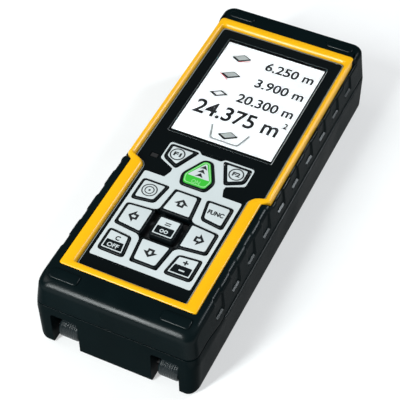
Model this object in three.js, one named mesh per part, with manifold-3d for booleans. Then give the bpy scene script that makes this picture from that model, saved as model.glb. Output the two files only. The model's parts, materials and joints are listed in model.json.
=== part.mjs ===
// Pocket laser distance meter, as separate solids, in millimetres.
// It lies on its back: +X to the right across the display, +Y towards the end the laser leaves,
// +Z out of the display. The origin is the middle of the back face.
import * as THREE from 'three';
import { mergeVertices } from 'three/addons/utils/BufferGeometryUtils.js';
import Module from 'manifold-3d';

const wasm = await Module();
wasm.setup();

// ---- Driving dimensions ----
const NEAR_Y = -72.2;
const NEAR_TOP_Y = -71.1;
const FAR_Y = 73.6;
const FOOT_HALF_WIDTH = 28.7;
const HALF_WIDTH = 29;
const WIDEST_Z = 16;
const TOP_HALF_WIDTH = 27.4;
const TOP_Z = 29.5;
const PAD_TOP_Z = 30;
const WALL = 2.2;
const LEDGE_Z = 27.2;
const DECK_Z = [25.4, 26.8];
const CLEAR = 0.3;

// The parting line: low along the sides, a little higher at the near end, with a ramp between.
const SEAM_LOW_Z = 17.5;
const SEAM_HIGH_Z = 19.2;
const SEAM_RAMP_Y = [-62, -54];
const SEAM_GAP = 0.3;

// Upright grip flutes in the sides of the front shell.
const FLUTE = { count: 10, firstY: -53, pitch: 12.2, width: 6.4, floorX: 27.1, ledgeZ: 21.8 };

// Bezel frame, front panel and display.
const BEZEL_Z = [26.9, 29.8];
const PANEL_Z = [26.9, 28.1];
const BEZEL_NEAR_Y = -61.6;
const BEZEL_FAR_Y = 65.9;
const BEZEL_LOWER_HALF = 24.2;
const BEZEL_UPPER_HALF = 26.5;
const PANEL_NEAR_Y = -58.7;
const PANEL_FAR_Y = 62.2;
const PANEL_LOWER_HALF = 19.5;
const PANEL_UPPER_HALF = 24.1;
const STEP_Y = [-12.4, -10];
const WINDOW = { x: 19.5, y0: 6.3, y1: 57.5 };
const SCREEN = { x: 18.9, y0: 7.6, y1: 56.2 };

// Keypad.
const KEY_Z = [25.6, 28.7];
const KEY_RIM = 0.9;
const KEY_SLOT = 1.2;
const FLANGE_RIM = 1.35;
const FLANGE_ROUNDING = 1.5;
const FLANGE_TOP_Z = 26.5;
const SURROUND = { wide: 18.2, narrow: 16.3, y0: -53.4, yStep: -13.7, y1: 2 };

// Fold-out positioning bracket at the near end.
const NOTCH = { x0: 13.1, x1: 22.9, yEnd: -59.5, top: 15.4 };
const KNUCKLE = { x0: 14.3, x1: 21.9, radius: 4.3 };
const PIVOT = { y: -66.45, z: 4.5 };
const PIN_RADIUS = 1.2;
const BRACKET_Z = [0.2, 2.9];
const BRACKET_PLATE_Y = [-58, -49.2];

// Battery bay, with two AA cells side by side.
const CELL = { radius: 7.1, length: 50.5, x: 7.35, z: 9.6 };
const TRAY = { x: 16.6, y0: -47.3, y1: 8.5, z0: 2.2, z1: 18.2, wall: 1 };
const DOOR = { x: 16, y0: -46.4, y1: 8.6, z0: 0.3, z1: 1.8 };

// Tripod insert: a quarter inch tripod screw goes into it.
const TRIPOD = { y: 16, outer: 5, bore: 3.2, z0: 0.6, z1: 8.6, floor: 1 };

// Case screws.
const SCREW_X = 22.4;
const SCREW_YS = [-41, 64.3];

// Optics, all looking out of the far end.
const LENS_PANEL = { x: 19.3, z0: 4.2, z1: 19.8, y0: 71, y1: 72.6 };
const RECEIVER = { x: -8.5, z: 12, radius: 7.8 };
const LASER = { x: 9.5, z: 7.6, radius: 2.7 };
const CAMERA = { x: 9.5, z: 14.8, radius: 2.2 };
const CHASSIS = { x: 19.2, y0: 25.6, y1: 67.6, z0: 3.6, z1: 18.6 };

// Electronics.
const BOARD = { x: 19.2, y0: -56, y1: 61, z0: 19.4, z1: 20.6 };

// ---- Geometry helpers ----
const ARC_STEPS = 3;

// A closed geometry as a solid that can be cut and joined.
function solid(geometry) {
  const bare = geometry.clone();
  bare.deleteAttribute('normal');
  bare.deleteAttribute('uv');
  const merged = mergeVertices(bare, 1e-4);
  const corners = merged.index.array;
  const faces = [];
  for (let i = 0; i < corners.length; i += 3) {
    const [a, b, c] = [corners[i], corners[i + 1], corners[i + 2]];
    if (a !== b && b !== c && c !== a) {
      faces.push(a, b, c);
    }
  }
  return new wasm.Manifold(new wasm.Mesh({
    numProp: 3,
    vertProperties: new Float32Array(merged.attributes.position.array),
    triVerts: new Uint32Array(faces),
  }));
}

function geometryOf(body) {
  const mesh = body.getMesh();
  const geometry = new THREE.BufferGeometry();
  geometry.setAttribute('position', new THREE.BufferAttribute(new Float32Array(mesh.vertProperties), 3));
  geometry.setIndex(new THREE.BufferAttribute(new Uint32Array(mesh.triVerts), 1));
  geometry.computeVertexNormals();
  return geometry;
}

function union(bodies) {
  return bodies.reduce((whole, body) => whole.add(body));
}

function box(x0, x1, y0, y1, z0, z1) {
  const geometry = new THREE.BoxGeometry(x1 - x0, y1 - y0, z1 - z0);
  geometry.translate((x0 + x1) / 2, (y0 + y1) / 2, (z0 + z1) / 2);
  return solid(geometry);
}

// A shape drawn in x and y, extruded along Z.
function prismZ(shape, z0, z1) {
  const options = { depth: z1 - z0, bevelEnabled: false, curveSegments: ARC_STEPS };
  const geometry = new THREE.ExtrudeGeometry(shape, options);
  geometry.translate(0, 0, z0);
  return solid(geometry);
}

// A shape drawn in y and z, extruded along X.
function prismX(shape, x0, x1) {
  const options = { depth: x1 - x0, bevelEnabled: false, curveSegments: ARC_STEPS };
  const geometry = new THREE.ExtrudeGeometry(shape, options);
  const turn = new THREE.Matrix4().makeBasis(
    new THREE.Vector3(0, 1, 0),
    new THREE.Vector3(0, 0, 1),
    new THREE.Vector3(1, 0, 0),
  );
  geometry.applyMatrix4(turn);
  geometry.translate(x0, 0, 0);
  return solid(geometry);
}

// A shape drawn in x and z, extruded along Y.
function prismY(shape, y0, y1) {
  const options = { depth: y1 - y0, bevelEnabled: false, curveSegments: ARC_STEPS };
  const geometry = new THREE.ExtrudeGeometry(shape, options);
  geometry.rotateX(Math.PI / 2);
  geometry.translate(0, y1, 0);
  return solid(geometry);
}

function rodX(radius, x0, x1, y, z, sides = 20) {
  const geometry = new THREE.CylinderGeometry(radius, radius, x1 - x0, sides);
  geometry.rotateZ(Math.PI / 2);
  geometry.translate((x0 + x1) / 2, y, z);
  return solid(geometry);
}

function rodY(radius, y0, y1, x, z, sides = 20) {
  const geometry = new THREE.CylinderGeometry(radius, radius, y1 - y0, sides);
  geometry.translate(x, (y0 + y1) / 2, z);
  return solid(geometry);
}

function rodZ(radius, z0, z1, x, y, sides = 16) {
  const geometry = new THREE.CylinderGeometry(radius, radius, z1 - z0, sides);
  geometry.rotateX(Math.PI / 2);
  geometry.translate(x, y, (z0 + z1) / 2);
  return solid(geometry);
}

// Corner points, each [x, y] or [x, y, rounding], moved outwards by grow and drawn counter-clockwise.
function outline(points, grow = 0) {
  const area = THREE.ShapeUtils.area(points.map(([x, y]) => new THREE.Vector2(x, y)));
  const ring = area < 0 ? [...points].reverse() : points;
  const count = ring.length;
  const outward = (i) => {
    const [x0, y0] = ring[i];
    const [x1, y1] = ring[(i + 1) % count];
    return new THREE.Vector2(y1 - y0, x0 - x1).normalize();
  };
  const corners = ring.map(([x, y], i) => {
    const before = outward((i + count - 1) % count);
    const after = outward(i);
    const reach = grow / (1 + before.dot(after));
    return new THREE.Vector2(x, y).addScaledVector(before, reach).addScaledVector(after, reach);
  });
  const shape = new THREE.Shape();
  corners.forEach((corner, i) => {
    const before = corners[(i + count - 1) % count];
    const after = corners[(i + 1) % count];
    const room = Math.min(corner.distanceTo(before), corner.distanceTo(after)) * 0.45;
    const setback = Math.min(Math.max(ring[i][2] ?? 0, 0), room);
    const start = corner.clone().add(before.clone().sub(corner).setLength(setback || 1e-9));
    const end = corner.clone().add(after.clone().sub(corner).setLength(setback || 1e-9));
    const place = i === 0 ? 'moveTo' : 'lineTo';
    if (setback > 0) {
      shape[place](start.x, start.y);
      shape.quadraticCurveTo(corner.x, corner.y, end.x, end.y);
    } else {
      shape[place](corner.x, corner.y);
    }
  });
  return shape;
}

function roundedRectangle(x0, x1, y0, y1, rounding) {
  return outline([[x0, y0, rounding], [x1, y0, rounding], [x1, y1, rounding], [x0, y1, rounding]]);
}

// The right half of an outline, from near to far, and its mirror image.
function mirrored(half) {
  return [...half, ...half.map(([x, y, r]) => [-x, y, r]).reverse()];
}

// ---- Case ----

// The outer body: a cross-section, a side view and a plan view, intersected.
function housing(inset) {
  const section = outline([
    [-FOOT_HALF_WIDTH, 0, 2.9], [FOOT_HALF_WIDTH, 0, 2.9], [HALF_WIDTH, WIDEST_Z],
    [TOP_HALF_WIDTH, TOP_Z, 1.8], [-TOP_HALF_WIDTH, TOP_Z, 1.8], [-HALF_WIDTH, WIDEST_Z],
  ], -inset);
  const side = outline([
    [NEAR_Y, 0, 1.1], [FAR_Y, 0, 4.2], [FAR_Y, TOP_Z, 1.2], [NEAR_TOP_Y, TOP_Z, 1.8], [NEAR_Y, SEAM_HIGH_Z],
  ], -inset);
  const plan = outline([
    [-HALF_WIDTH, NEAR_Y, 3.7], [HALF_WIDTH, NEAR_Y, 3.7], [HALF_WIDTH, FAR_Y, 3.9], [-HALF_WIDTH, FAR_Y, 3.9],
  ], -inset);
  return prismY(section, -80, 80).intersect(prismX(side, -40, 40)).intersect(prismZ(plan, -5, 40));
}

// The space on one side of the parting line; sign +1 is above it, -1 below.
function besideSeam(sign) {
  const low = SEAM_LOW_Z + (sign * SEAM_GAP) / 2;
  const high = SEAM_HIGH_Z + (sign * SEAM_GAP) / 2;
  const far = sign > 0 ? 50 : -20;
  return prismX(outline([
    [-90, high], [SEAM_RAMP_Y[0], high], [SEAM_RAMP_Y[1], low], [90, low], [90, far], [-90, far],
  ]), -50, 50);
}

function bezelOutline(grow) {
  return outline(mirrored([
    [BEZEL_LOWER_HALF, BEZEL_NEAR_Y, 1], [BEZEL_LOWER_HALF, STEP_Y[0]],
    [BEZEL_UPPER_HALF, STEP_Y[1]], [BEZEL_UPPER_HALF, BEZEL_FAR_Y, 1.5],
  ]), grow);
}

function panelOutline(grow) {
  return outline(mirrored([
    [PANEL_LOWER_HALF, PANEL_NEAR_Y, 0.8], [PANEL_LOWER_HALF, STEP_Y[0], 1], [20.4, -10.9, 0.8],
    [PANEL_UPPER_HALF, -9.4, 0.8], [PANEL_UPPER_HALF, PANEL_FAR_Y, 1.5],
  ]), grow);
}

// Upright grip flutes down both sides, open at the top and closed by a ledge at the bottom.
function flutes() {
  const halfWidth = FLUTE.width / 2;
  const cuts = [];
  for (let i = 0; i < FLUTE.count; i += 1) {
    const y = FLUTE.firstY + i * FLUTE.pitch;
    const shape = new THREE.Shape();
    shape.moveTo(HALF_WIDTH + 1, y - halfWidth);
    shape.lineTo(HALF_WIDTH + 1, y + halfWidth);
    shape.quadraticCurveTo(2 * FLUTE.floorX - HALF_WIDTH - 1, y, HALF_WIDTH + 1, y - halfWidth);
    const cut = prismZ(shape, FLUTE.ledgeZ, 40);
    cuts.push(cut, cut.mirror([1, 0, 0]));
  }
  return union(cuts);
}

// Lowers the sides beside the wide part of the bezel, so that its edge stands free.
function besideBezel() {
  const cut = box(BEZEL_UPPER_HALF, 40, STEP_Y[0], BEZEL_FAR_Y, LEDGE_Z, 40);
  return cut.add(cut.mirror([1, 0, 0]));
}

function cornerPads() {
  const rows = [[-68, -63.8], [67.4, 70.2]];
  return union(rows.flatMap(([y0, y1]) => [-1, 1].map((side) => {
    const [x0, x1] = side > 0 ? [14.4, 24.6] : [-24.6, -14.4];
    return prismZ(roundedRectangle(x0, x1, y0, y1, 1.2), TOP_Z - 1, PAD_TOP_Z);
  })));
}

function eachScrew(make) {
  return SCREW_YS.flatMap((y) => [-1, 1].map((side) => make(side * SCREW_X, y)));
}

function lensPanelOpening() {
  const { x, z0, z1 } = LENS_PANEL;
  return box(-x - CLEAR, x + CLEAR, 60, 80, z0 - CLEAR, z1 + CLEAR);
}

function frontShell() {
  const hollow = housing(WALL).intersect(box(-40, 40, -90, 90, -5, DECK_Z[0]));
  const seamZ = SEAM_LOW_Z + SEAM_GAP / 2;
  return housing(0)
    .intersect(besideSeam(1))
    .subtract(hollow)
    .add(cornerPads())
    .add(union(eachScrew((x, y) => rodZ(2.5, seamZ, DECK_Z[0] + 0.5, x, y))))
    .subtract(union(eachScrew((x, y) => rodZ(1.4, seamZ - 1, 22, x, y))))
    .subtract(prismZ(bezelOutline(CLEAR), DECK_Z[1], 40))
    .subtract(box(-SCREEN.x - 0.4, SCREEN.x + 0.4, SCREEN.y0 - 0.4, SCREEN.y1 + 0.4, 20, 28))
    .subtract(box(-17.6, 17.6, -52.4, 1.6, 20, 28))
    .subtract(lensPanelOpening())
    .subtract(besideBezel())
    .subtract(flutes());
}

function notches() {
  const cut = box(NOTCH.x0, NOTCH.x1, -80, NOTCH.yEnd, -1, NOTCH.top);
  return cut.add(cut.mirror([1, 0, 0]));
}

function rearShell() {
  const skin = 1.4;
  const notchWall = box(NOTCH.x0 - skin, 30, -80, NOTCH.yEnd + skin, -1, NOTCH.top + skin);
  const recessY = [NOTCH.yEnd - 0.1, BRACKET_PLATE_Y[1] + CLEAR];
  const recessWall = box(-30, 30, recessY[0], recessY[1] + 1.2, -1, 4.5);
  const hollow = housing(WALL)
    .subtract(notchWall)
    .subtract(notchWall.mirror([1, 0, 0]))
    .subtract(recessWall);
  const seamZ = SEAM_LOW_Z - SEAM_GAP / 2;
  const doorway = roundedRectangle(
    -DOOR.x - CLEAR, DOOR.x + CLEAR, DOOR.y0 - 2 * CLEAR, DOOR.y1 + CLEAR, 1.5);
  return housing(0)
    .intersect(besideSeam(-1))
    .subtract(hollow)
    .add(union(eachScrew((x, y) => rodZ(2.8, 1, seamZ, x, y))))
    .add(rodZ(6.5, 1, TRIPOD.z1 + 1.6, 0, TRIPOD.y))
    .subtract(rodZ(TRIPOD.outer + CLEAR, -1, TRIPOD.z1 + CLEAR, 0, TRIPOD.y))
    .subtract(union(eachScrew((x, y) => rodZ(2.2, -1, 3.5, x, y))))
    .subtract(union(eachScrew((x, y) => rodZ(1.4, 3, 20, x, y))))
    .subtract(notches())
    .subtract(box(-NOTCH.x1 + 0.6, NOTCH.x1 - 0.6, recessY[0], recessY[1], -1, BRACKET_Z[1] + CLEAR))
    .subtract(rodX(PIN_RADIUS + CLEAR, -24.9, 24.9, PIVOT.y, PIVOT.z))
    .subtract(prismZ(doorway, -1, 3))
    .subtract(lensPanelOpening());
}

function caseScrew(x, y) {
  const head = rodZ(1.9, 1.4, 3.3, x, y);
  const shank = rodZ(1.1, 3, 21, x, y, 12);
  const slotA = box(x - 1.3, x + 1.3, y - 0.3, y + 0.3, 1, 2.2);
  const slotB = box(x - 0.3, x + 0.3, y - 1.3, y + 1.3, 1, 2.2);
  return head.add(shank).subtract(slotA).subtract(slotB);
}

// ---- Face: bezel, panel, window and display ----

function surroundOutline(grow) {
  return outline(mirrored([
    [SURROUND.wide, SURROUND.y0, 0.6], [SURROUND.wide, SURROUND.yStep, 0.6],
    [SURROUND.narrow, SURROUND.yStep], [SURROUND.narrow, SURROUND.y1, 1.2],
  ]), grow);
}

function bezelFrame() {
  return prismZ(bezelOutline(0), ...BEZEL_Z).subtract(prismZ(panelOutline(0.15), 20, 40));
}

const LIGHT_SENSOR = { x: -18.3, y: -6.3, halfX: 1.2, halfY: 0.8 };

function lightSensorBox(grow, z0, z1) {
  const { x, y, halfX, halfY } = LIGHT_SENSOR;
  return box(x - halfX - grow, x + halfX + grow, y - halfY - grow, y + halfY + grow, z0, z1);
}

function frontPanel() {
  const { x, y0, y1 } = WINDOW;
  return prismZ(panelOutline(0), ...PANEL_Z)
    .subtract(prismZ(roundedRectangle(-x - 0.2, x + 0.2, y0 - 0.2, y1 + 0.2, 0.6), 20, 40))
    .subtract(prismZ(surroundOutline(CLEAR), 20, 40))
    .subtract(lightSensorBox(CLEAR, 20, 40));
}

function displayModule() {
  const { x, y0, y1 } = SCREEN;
  return box(-20.9, 20.9, 3.2, 60.4, 22.4, 25.1).add(box(-x, x, y0, y1, 25, 26.7));
}

// ---- Keypad ----

// The printed face of each key on the left or the middle; the right column mirrors the left.
const LEFT_FACES = {
  soft: [[-14, -0.35, 0.5], [-14, -5, 0.8], [-9.55, -7.35, 0.6], [-6.4, -0.35, 0.5]],
  upper: [[-15.7, -18.2, 0.8], [-15.7, -25.8, 0.8], [-9.35, -24.9, 0.8], [-8.15, -18.2, 0.6]],
  arrow: [[-15.7, -30, 0.8], [-15.7, -37.7, 0.8], [-7.35, -38.65, 0.5], [-7.35, -29.3, 0.5]],
  lower: [[-15.7, -42.2, 0.6], [-15.7, -49.4, 1], [-8.3, -49.5, 1], [-9.3, -42.8, 0.8]],
};
const MIDDLE_FACES = {
  key_on: mirrored([[4, -13.7, 1], [5.05, -10, 1], [1, -2.3, 1]]),
  key_up: mirrored([[4.7, -26.8, 0.5], [3.75, -18.3, 0.8]]),
  key_middle: mirrored([[3.5, -37.4, 0.5], [3.5, -30.4, 0.5]]),
  key_down: mirrored([[3.75, -49.5, 0.8], [4.75, -41.1, 0.5]]),
};
const COLUMNS = {
  soft: ['key_soft_left', 'key_soft_right'],
  upper: ['key_target', 'key_function'],
  arrow: ['key_left', 'key_right'],
  lower: ['key_clear', 'key_plus_minus'],
};

function keyFaces() {
  const faces = { ...MIDDLE_FACES };
  for (const [row, [left, right]] of Object.entries(COLUMNS)) {
    faces[left] = LEFT_FACES[row];
    faces[right] = LEFT_FACES[row].map(([x, y, r]) => [-x, y, r]);
  }
  return faces;
}

function keyCap(face) {
  const flange = face.map(([x, y]) => [x, y, FLANGE_ROUNDING]);
  return prismZ(outline(face, KEY_RIM), ...KEY_Z)
    .add(prismZ(outline(flange, FLANGE_RIM), KEY_Z[0], FLANGE_TOP_Z));
}

function middleOf(face) {
  const box2 = new THREE.Box2().setFromPoints(face.map(([x, y]) => new THREE.Vector2(x, y)));
  return box2.getCenter(new THREE.Vector2());
}

// The plate round the keys, with one slot for each key and one cross-shaped slot for the arrow pad.
function keypadSurround(faces) {
  const slots = Object.values(faces).map((face) => prismZ(outline(face, KEY_SLOT), 20, 40));
  return prismZ(surroundOutline(0), ...PANEL_Z)
    .subtract(union(slots))
    .subtract(box(-8.4, 8.4, -39.9, -28.1, 20, 40));
}

const MAT_Z = [24, 25.15];
const PLUNGER_BOTTOM_Z = 21.2;

function keyMat(faces) {
  const plungers = Object.values(faces).map((face) => {
    const middle = middleOf(face);
    return rodZ(1.5, PLUNGER_BOTTOM_Z, MAT_Z[0] + 0.5, middle.x, middle.y, 12);
  });
  return prismZ(roundedRectangle(-17.8, 17.8, -53, 1.8, 1), ...MAT_Z).add(union(plungers));
}

// ---- Electronics ----

function mainBoard() {
  const { x, y0, y1, z0, z1 } = BOARD;
  const processor = box(-6, 6, 26, 38, z1 - 0.1, 22);
  const memory = box(8.5, 16.5, 27, 33, z1 - 0.1, 21.8);
  const driver = box(-16, -10, 44, 52, z1 - 0.1, 21.8);
  return prismZ(roundedRectangle(-x, x, y0, y1, 1.5), z0, z1).add(processor).add(memory).add(driver);
}

function buzzer() {
  const { z1 } = BOARD;
  const hole = rodZ(0.9, z1 + 0.9, z1 + 3, 13, 48, 12);
  return rodZ(4.5, z1 + 0.1, z1 + 1.6, 13, 48).subtract(hole);
}

// ---- Optics ----

function opticsChassis() {
  const { x, y0, y1, z0, z1 } = CHASSIS;
  return box(-x, x, y0, y1, z0, z1)
    .subtract(rodY(6.4, y0 - 1, y1 + 1, RECEIVER.x, RECEIVER.z))
    .subtract(rodY(LASER.radius + CLEAR, 30, y1 + 1, LASER.x, LASER.z))
    .subtract(box(CAMERA.x - 3.6, CAMERA.x + 3.6, 48, y1 + 1, CAMERA.z - 3.2, CAMERA.z + 3.2));
}

function laserModule() {
  const barrel = rodY(LASER.radius, 36, 65, LASER.x, LASER.z);
  const mouth = rodY(1.6, 63.5, 66, LASER.x, LASER.z, 16);
  const neck = rodY(1.9, 33, 36.5, LASER.x, LASER.z, 16);
  return barrel.add(neck).subtract(mouth);
}

function cameraModule() {
  const { x, z, radius } = CAMERA;
  const body = box(x - 3.2, x + 3.2, 50, 58, z - 2.9, z + 2.9);
  return body.add(rodY(radius, 57.5, 66.5, x, z)).subtract(rodY(1.3, 65.5, 67, x, z, 12));
}

// A plano-convex lens, flat towards the inside.
function receiverLens() {
  const { x, z, radius } = RECEIVER;
  const crown = 1.6;
  const profile = [new THREE.Vector2(0, 0), new THREE.Vector2(radius, 0), new THREE.Vector2(radius, 1)];
  for (let i = 1; i <= 5; i += 1) {
    const across = radius * (1 - i / 5);
    profile.push(new THREE.Vector2(across, 1 + crown * (1 - (across / radius) ** 2)));
  }
  const geometry = new THREE.LatheGeometry(profile, 28);
  geometry.translate(x, CHASSIS.y1 + CLEAR, z);
  return solid(geometry);
}

function receiverBoard() {
  const { x, z } = RECEIVER;
  return box(x - 9, x + 9, 23.4, 24.8, 5.2, 18.4).add(rodY(2.3, 24.6, 30, x, z, 16));
}

function lensPanel() {
  const { x, z0, z1, y0, y1 } = LENS_PANEL;
  return prismY(roundedRectangle(-x, x, z0, z1, 2), y0, y1)
    .subtract(rodY(RECEIVER.radius - 0.9, 60, 80, RECEIVER.x, RECEIVER.z, 28))
    .subtract(rodY(2.6, 60, 80, LASER.x, LASER.z))
    .subtract(rodY(2.6, 60, 80, CAMERA.x, CAMERA.z));
}

function windowDisc(place) {
  return rodY(2.3, LENS_PANEL.y0 + 0.1, LENS_PANEL.y1 - 0.3, place.x, place.z);
}

// ---- Power ----

function batteryTray() {
  const { x, y0, y1, z0, z1, wall } = TRAY;
  const inside = box(-x + wall, x - wall, y0 + wall, y1 - wall, z0 - 1, z1 - wall);
  return box(-x, x, y0, y1, z0, z1).subtract(inside);
}

// One cell; sign +1 puts its button towards +Y.
function cell(x, y0, sign) {
  const y1 = y0 + CELL.length;
  const button = 1.2;
  const [bodyY0, bodyY1] = sign > 0 ? [y0, y1 - button] : [y0 + button, y1];
  const [tipY0, tipY1] = sign > 0 ? [bodyY1 - 0.1, y1] : [y0, bodyY0 + 0.1];
  return rodY(CELL.radius, bodyY0, bodyY1, x, CELL.z).add(rodY(2.7, tipY0, tipY1, x, CELL.z, 16));
}

// A conical contact spring: its radius shrinks as it rises from its seat.
class SpringPath extends THREE.Curve {
  constructor(rise, wide, narrow, turns) {
    super();
    Object.assign(this, { rise, wide, narrow, turns });
  }

  getPoint(t, target = new THREE.Vector3()) {
    const angle = t * this.turns * Math.PI * 2;
    const radius = this.wide + (this.narrow - this.wide) * t;
    return target.set(radius * Math.cos(angle), t * this.rise, radius * Math.sin(angle));
  }
}

function contactSpring(x, seatY, sign) {
  const wire = new THREE.Shape();
  wire.absarc(0, 0, 0.25, 0, Math.PI * 2);
  const path = new SpringPath(1.2 * sign, 3.6, 1.6, 2.25);
  const geometry = new THREE.ExtrudeGeometry(wire, { steps: 28, curveSegments: 2, extrudePath: path });
  geometry.translate(x, seatY, CELL.z);
  return solid(geometry);
}

function contactPlate(x, y0) {
  return box(x - 4.5, x + 4.5, y0, y0 + 0.4, CELL.z - 4.5, CELL.z + 4.5);
}

const LATCH = { x: 4.6, y0: 5, y1: 8.3, z0: 0.4, z1: 1, travel: 1.5 };

function batteryDoor() {
  const { x, y0, y1, z0, z1 } = DOOR;
  const pocketY = LATCH.y0 - LATCH.travel - CLEAR;
  const pocket = box(-LATCH.x - CLEAR, LATCH.x + CLEAR, pocketY, y1 + 1, -1, LATCH.z1 + CLEAR);
  return prismZ(roundedRectangle(-x, x, y0, y1, 1.2), z0, z1).subtract(pocket);
}

function doorSeal() {
  const inner = prismZ(roundedRectangle(-14.4, 14.4, -44.6, 6.6, 1), 0, 5);
  return prismZ(roundedRectangle(-15.2, 15.2, -45.4, 7.2, 1.6), DOOR.z1 + 0.05, 2.8).subtract(inner);
}

function tripodInsert() {
  const { y, outer, bore, z0, z1, floor } = TRIPOD;
  return rodZ(outer, z0, z1, 0, y, 24).subtract(rodZ(bore, -1, z1 - floor, 0, y, 24));
}

// ---- Positioning bracket ----

function positioningBracket() {
  const { x0, x1, radius } = KNUCKLE;
  const [plateY0, plateY1] = BRACKET_PLATE_Y;
  const arms = [[x0, x1], [-x1, -x0]].map(([left, right]) => rodX(radius, left, right, PIVOT.y, PIVOT.z)
    .add(box(left, right, PIVOT.y, plateY0 + 1, ...BRACKET_Z)));
  const plate = prismZ(outline([
    [-x1, plateY0], [x1, plateY0], [x1, plateY1, 3], [-x1, plateY1, 3],
  ]), ...BRACKET_Z);
  return union([plate, ...arms]).subtract(rodX(PIN_RADIUS + CLEAR, -30, 30, PIVOT.y, PIVOT.z));
}

// ---- Scene graph ----

function finish(colour, roughness, metalness = 0) {
  return { color: colour, roughness, metalness };
}

const FINISH = {
  shell: finish(0x14201f, 0.6),
  rear: finish(0x101617, 0.65),
  bezel: finish(0xf9b208, 0.45),
  panel: finish(0x06090a, 0.12),
  screen: finish(0xf4f6f8, 0.3),
  glass: finish(0xdfe8ea, 0.05),
  silver: finish(0xd6dade, 0.4),
  key: finish(0x0b0d0e, 0.45),
  onKey: finish(0x2fa035, 0.45),
  silicone: finish(0x3a3f42, 0.8),
  board: finish(0x1d5a34, 0.5),
  chip: finish(0x1a1b1d, 0.5),
  steel: finish(0xb9bdc1, 0.3, 1),
  brass: finish(0xc8a24a, 0.35, 1),
  castMetal: finish(0x8e9296, 0.5, 1),
  cellWrap: finish(0x8c8f94, 0.35),
  bracket: finish(0x2c3334, 0.55),
};

function piece(name, look, body) {
  const mesh = new THREE.Mesh(geometryOf(body), new THREE.MeshStandardMaterial(FINISH[look]));
  mesh.name = name;
  return mesh;
}

function assembly(...pieces) {
  const part = new THREE.Group();
  part.add(...pieces.flat());
  return part;
}

const faces = keyFaces();
const keys = Object.entries(faces).map(([name, face]) => (
  piece(name, name === 'key_on' ? 'onKey' : 'key', keyCap(face))));
const screws = eachScrew((x, y) => caseScrew(x, y)).map((body, i) => (
  piece(`case_screw_${i + 1}`, 'steel', body)));

const caseParts = assembly(
  piece('front_shell', 'shell', frontShell()),
  piece('rear_shell', 'rear', rearShell()),
  piece('tripod_insert', 'brass', tripodInsert()),
  screws,
);

const faceParts = assembly(
  piece('bezel_frame', 'bezel', bezelFrame()),
  piece('front_panel', 'panel', frontPanel()),
  piece('light_sensor', 'chip', lightSensorBox(0, PANEL_Z[0], PANEL_Z[1] - 0.1)),
  piece('display_window', 'glass', prismZ(
    roundedRectangle(-WINDOW.x, WINDOW.x, WINDOW.y0, WINDOW.y1, 0.6), ...PANEL_Z)),
  piece('display_module', 'screen', displayModule()),
);

const keypadParts = assembly(
  piece('keypad_surround', 'silver', keypadSurround(faces)),
  keys,
  piece('key_mat', 'silicone', keyMat(faces)),
  piece('dome_sheet', 'steel', prismZ(
    roundedRectangle(-17.8, 17.8, -53, 1.8, 1), BOARD.z1 + 0.1, BOARD.z1 + 0.4)),
);

const electronics = assembly(
  piece('main_board', 'board', mainBoard()),
  piece('buzzer', 'chip', buzzer()),
  piece('tilt_sensor', 'chip', box(-4, 0, 12, 16, BOARD.z1 + 0.1, BOARD.z1 + 1.2)),
  piece('radio_module', 'steel', box(-17, -7, 8, 22, BOARD.z1 + 0.1, BOARD.z1 + 1.6)),
);

const optics = assembly(
  piece('optics_chassis', 'castMetal', opticsChassis()),
  piece('laser_module', 'brass', laserModule()),
  piece('camera_module', 'chip', cameraModule()),
  piece('receiver_lens', 'glass', receiverLens()),
  piece('receiver_board', 'board', receiverBoard()),
  piece('lens_panel', 'panel', lensPanel()),
  piece('laser_window', 'glass', windowDisc(LASER)),
  piece('camera_window', 'glass', windowDisc(CAMERA)),
);

const cellY = { springEnd: -43.9, plateEnd: -45.4 };
const power = assembly(
  piece('battery_tray', 'rear', batteryTray()),
  piece('cell_left', 'cellWrap', cell(-CELL.x, cellY.springEnd, 1)),
  piece('cell_right', 'cellWrap', cell(CELL.x, cellY.plateEnd, -1)),
  piece('contact_spring_left', 'steel', contactSpring(-CELL.x, -45.8, 1)),
  piece('contact_spring_right', 'steel', contactSpring(CELL.x, 7, -1)),
  piece('contact_plate_left', 'steel', contactPlate(-CELL.x, 6.9)),
  piece('contact_plate_right', 'steel', contactPlate(CELL.x, -46.1)),
  piece('battery_door', 'rear', batteryDoor()),
  piece('door_latch', 'rear', box(-LATCH.x, LATCH.x, LATCH.y0, LATCH.y1, LATCH.z0, LATCH.z1)),
  piece('door_seal', 'silicone', doorSeal()),
);

const bracketParts = assembly(
  piece('positioning_bracket', 'bracket', positioningBracket()),
  piece('bracket_pin', 'steel', rodX(PIN_RADIUS, -24.6, 24.6, PIVOT.y, PIVOT.z, 16)),
);

const group = assembly(caseParts, faceParts, keypadParts, electronics, optics, power, bracketParts);
export default group;
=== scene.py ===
"""Looks of a pocket laser distance meter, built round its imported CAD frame.

Sizes inside the functions are in millimetres, in the frame of the CAD: +X to the right across the
display, +Y towards the end the laser leaves, +Z out of the display. Meshes are made in metres.
"""
import json
import math

import bmesh
import bpy
import numpy as np
from mathutils import Matrix, Vector


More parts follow.
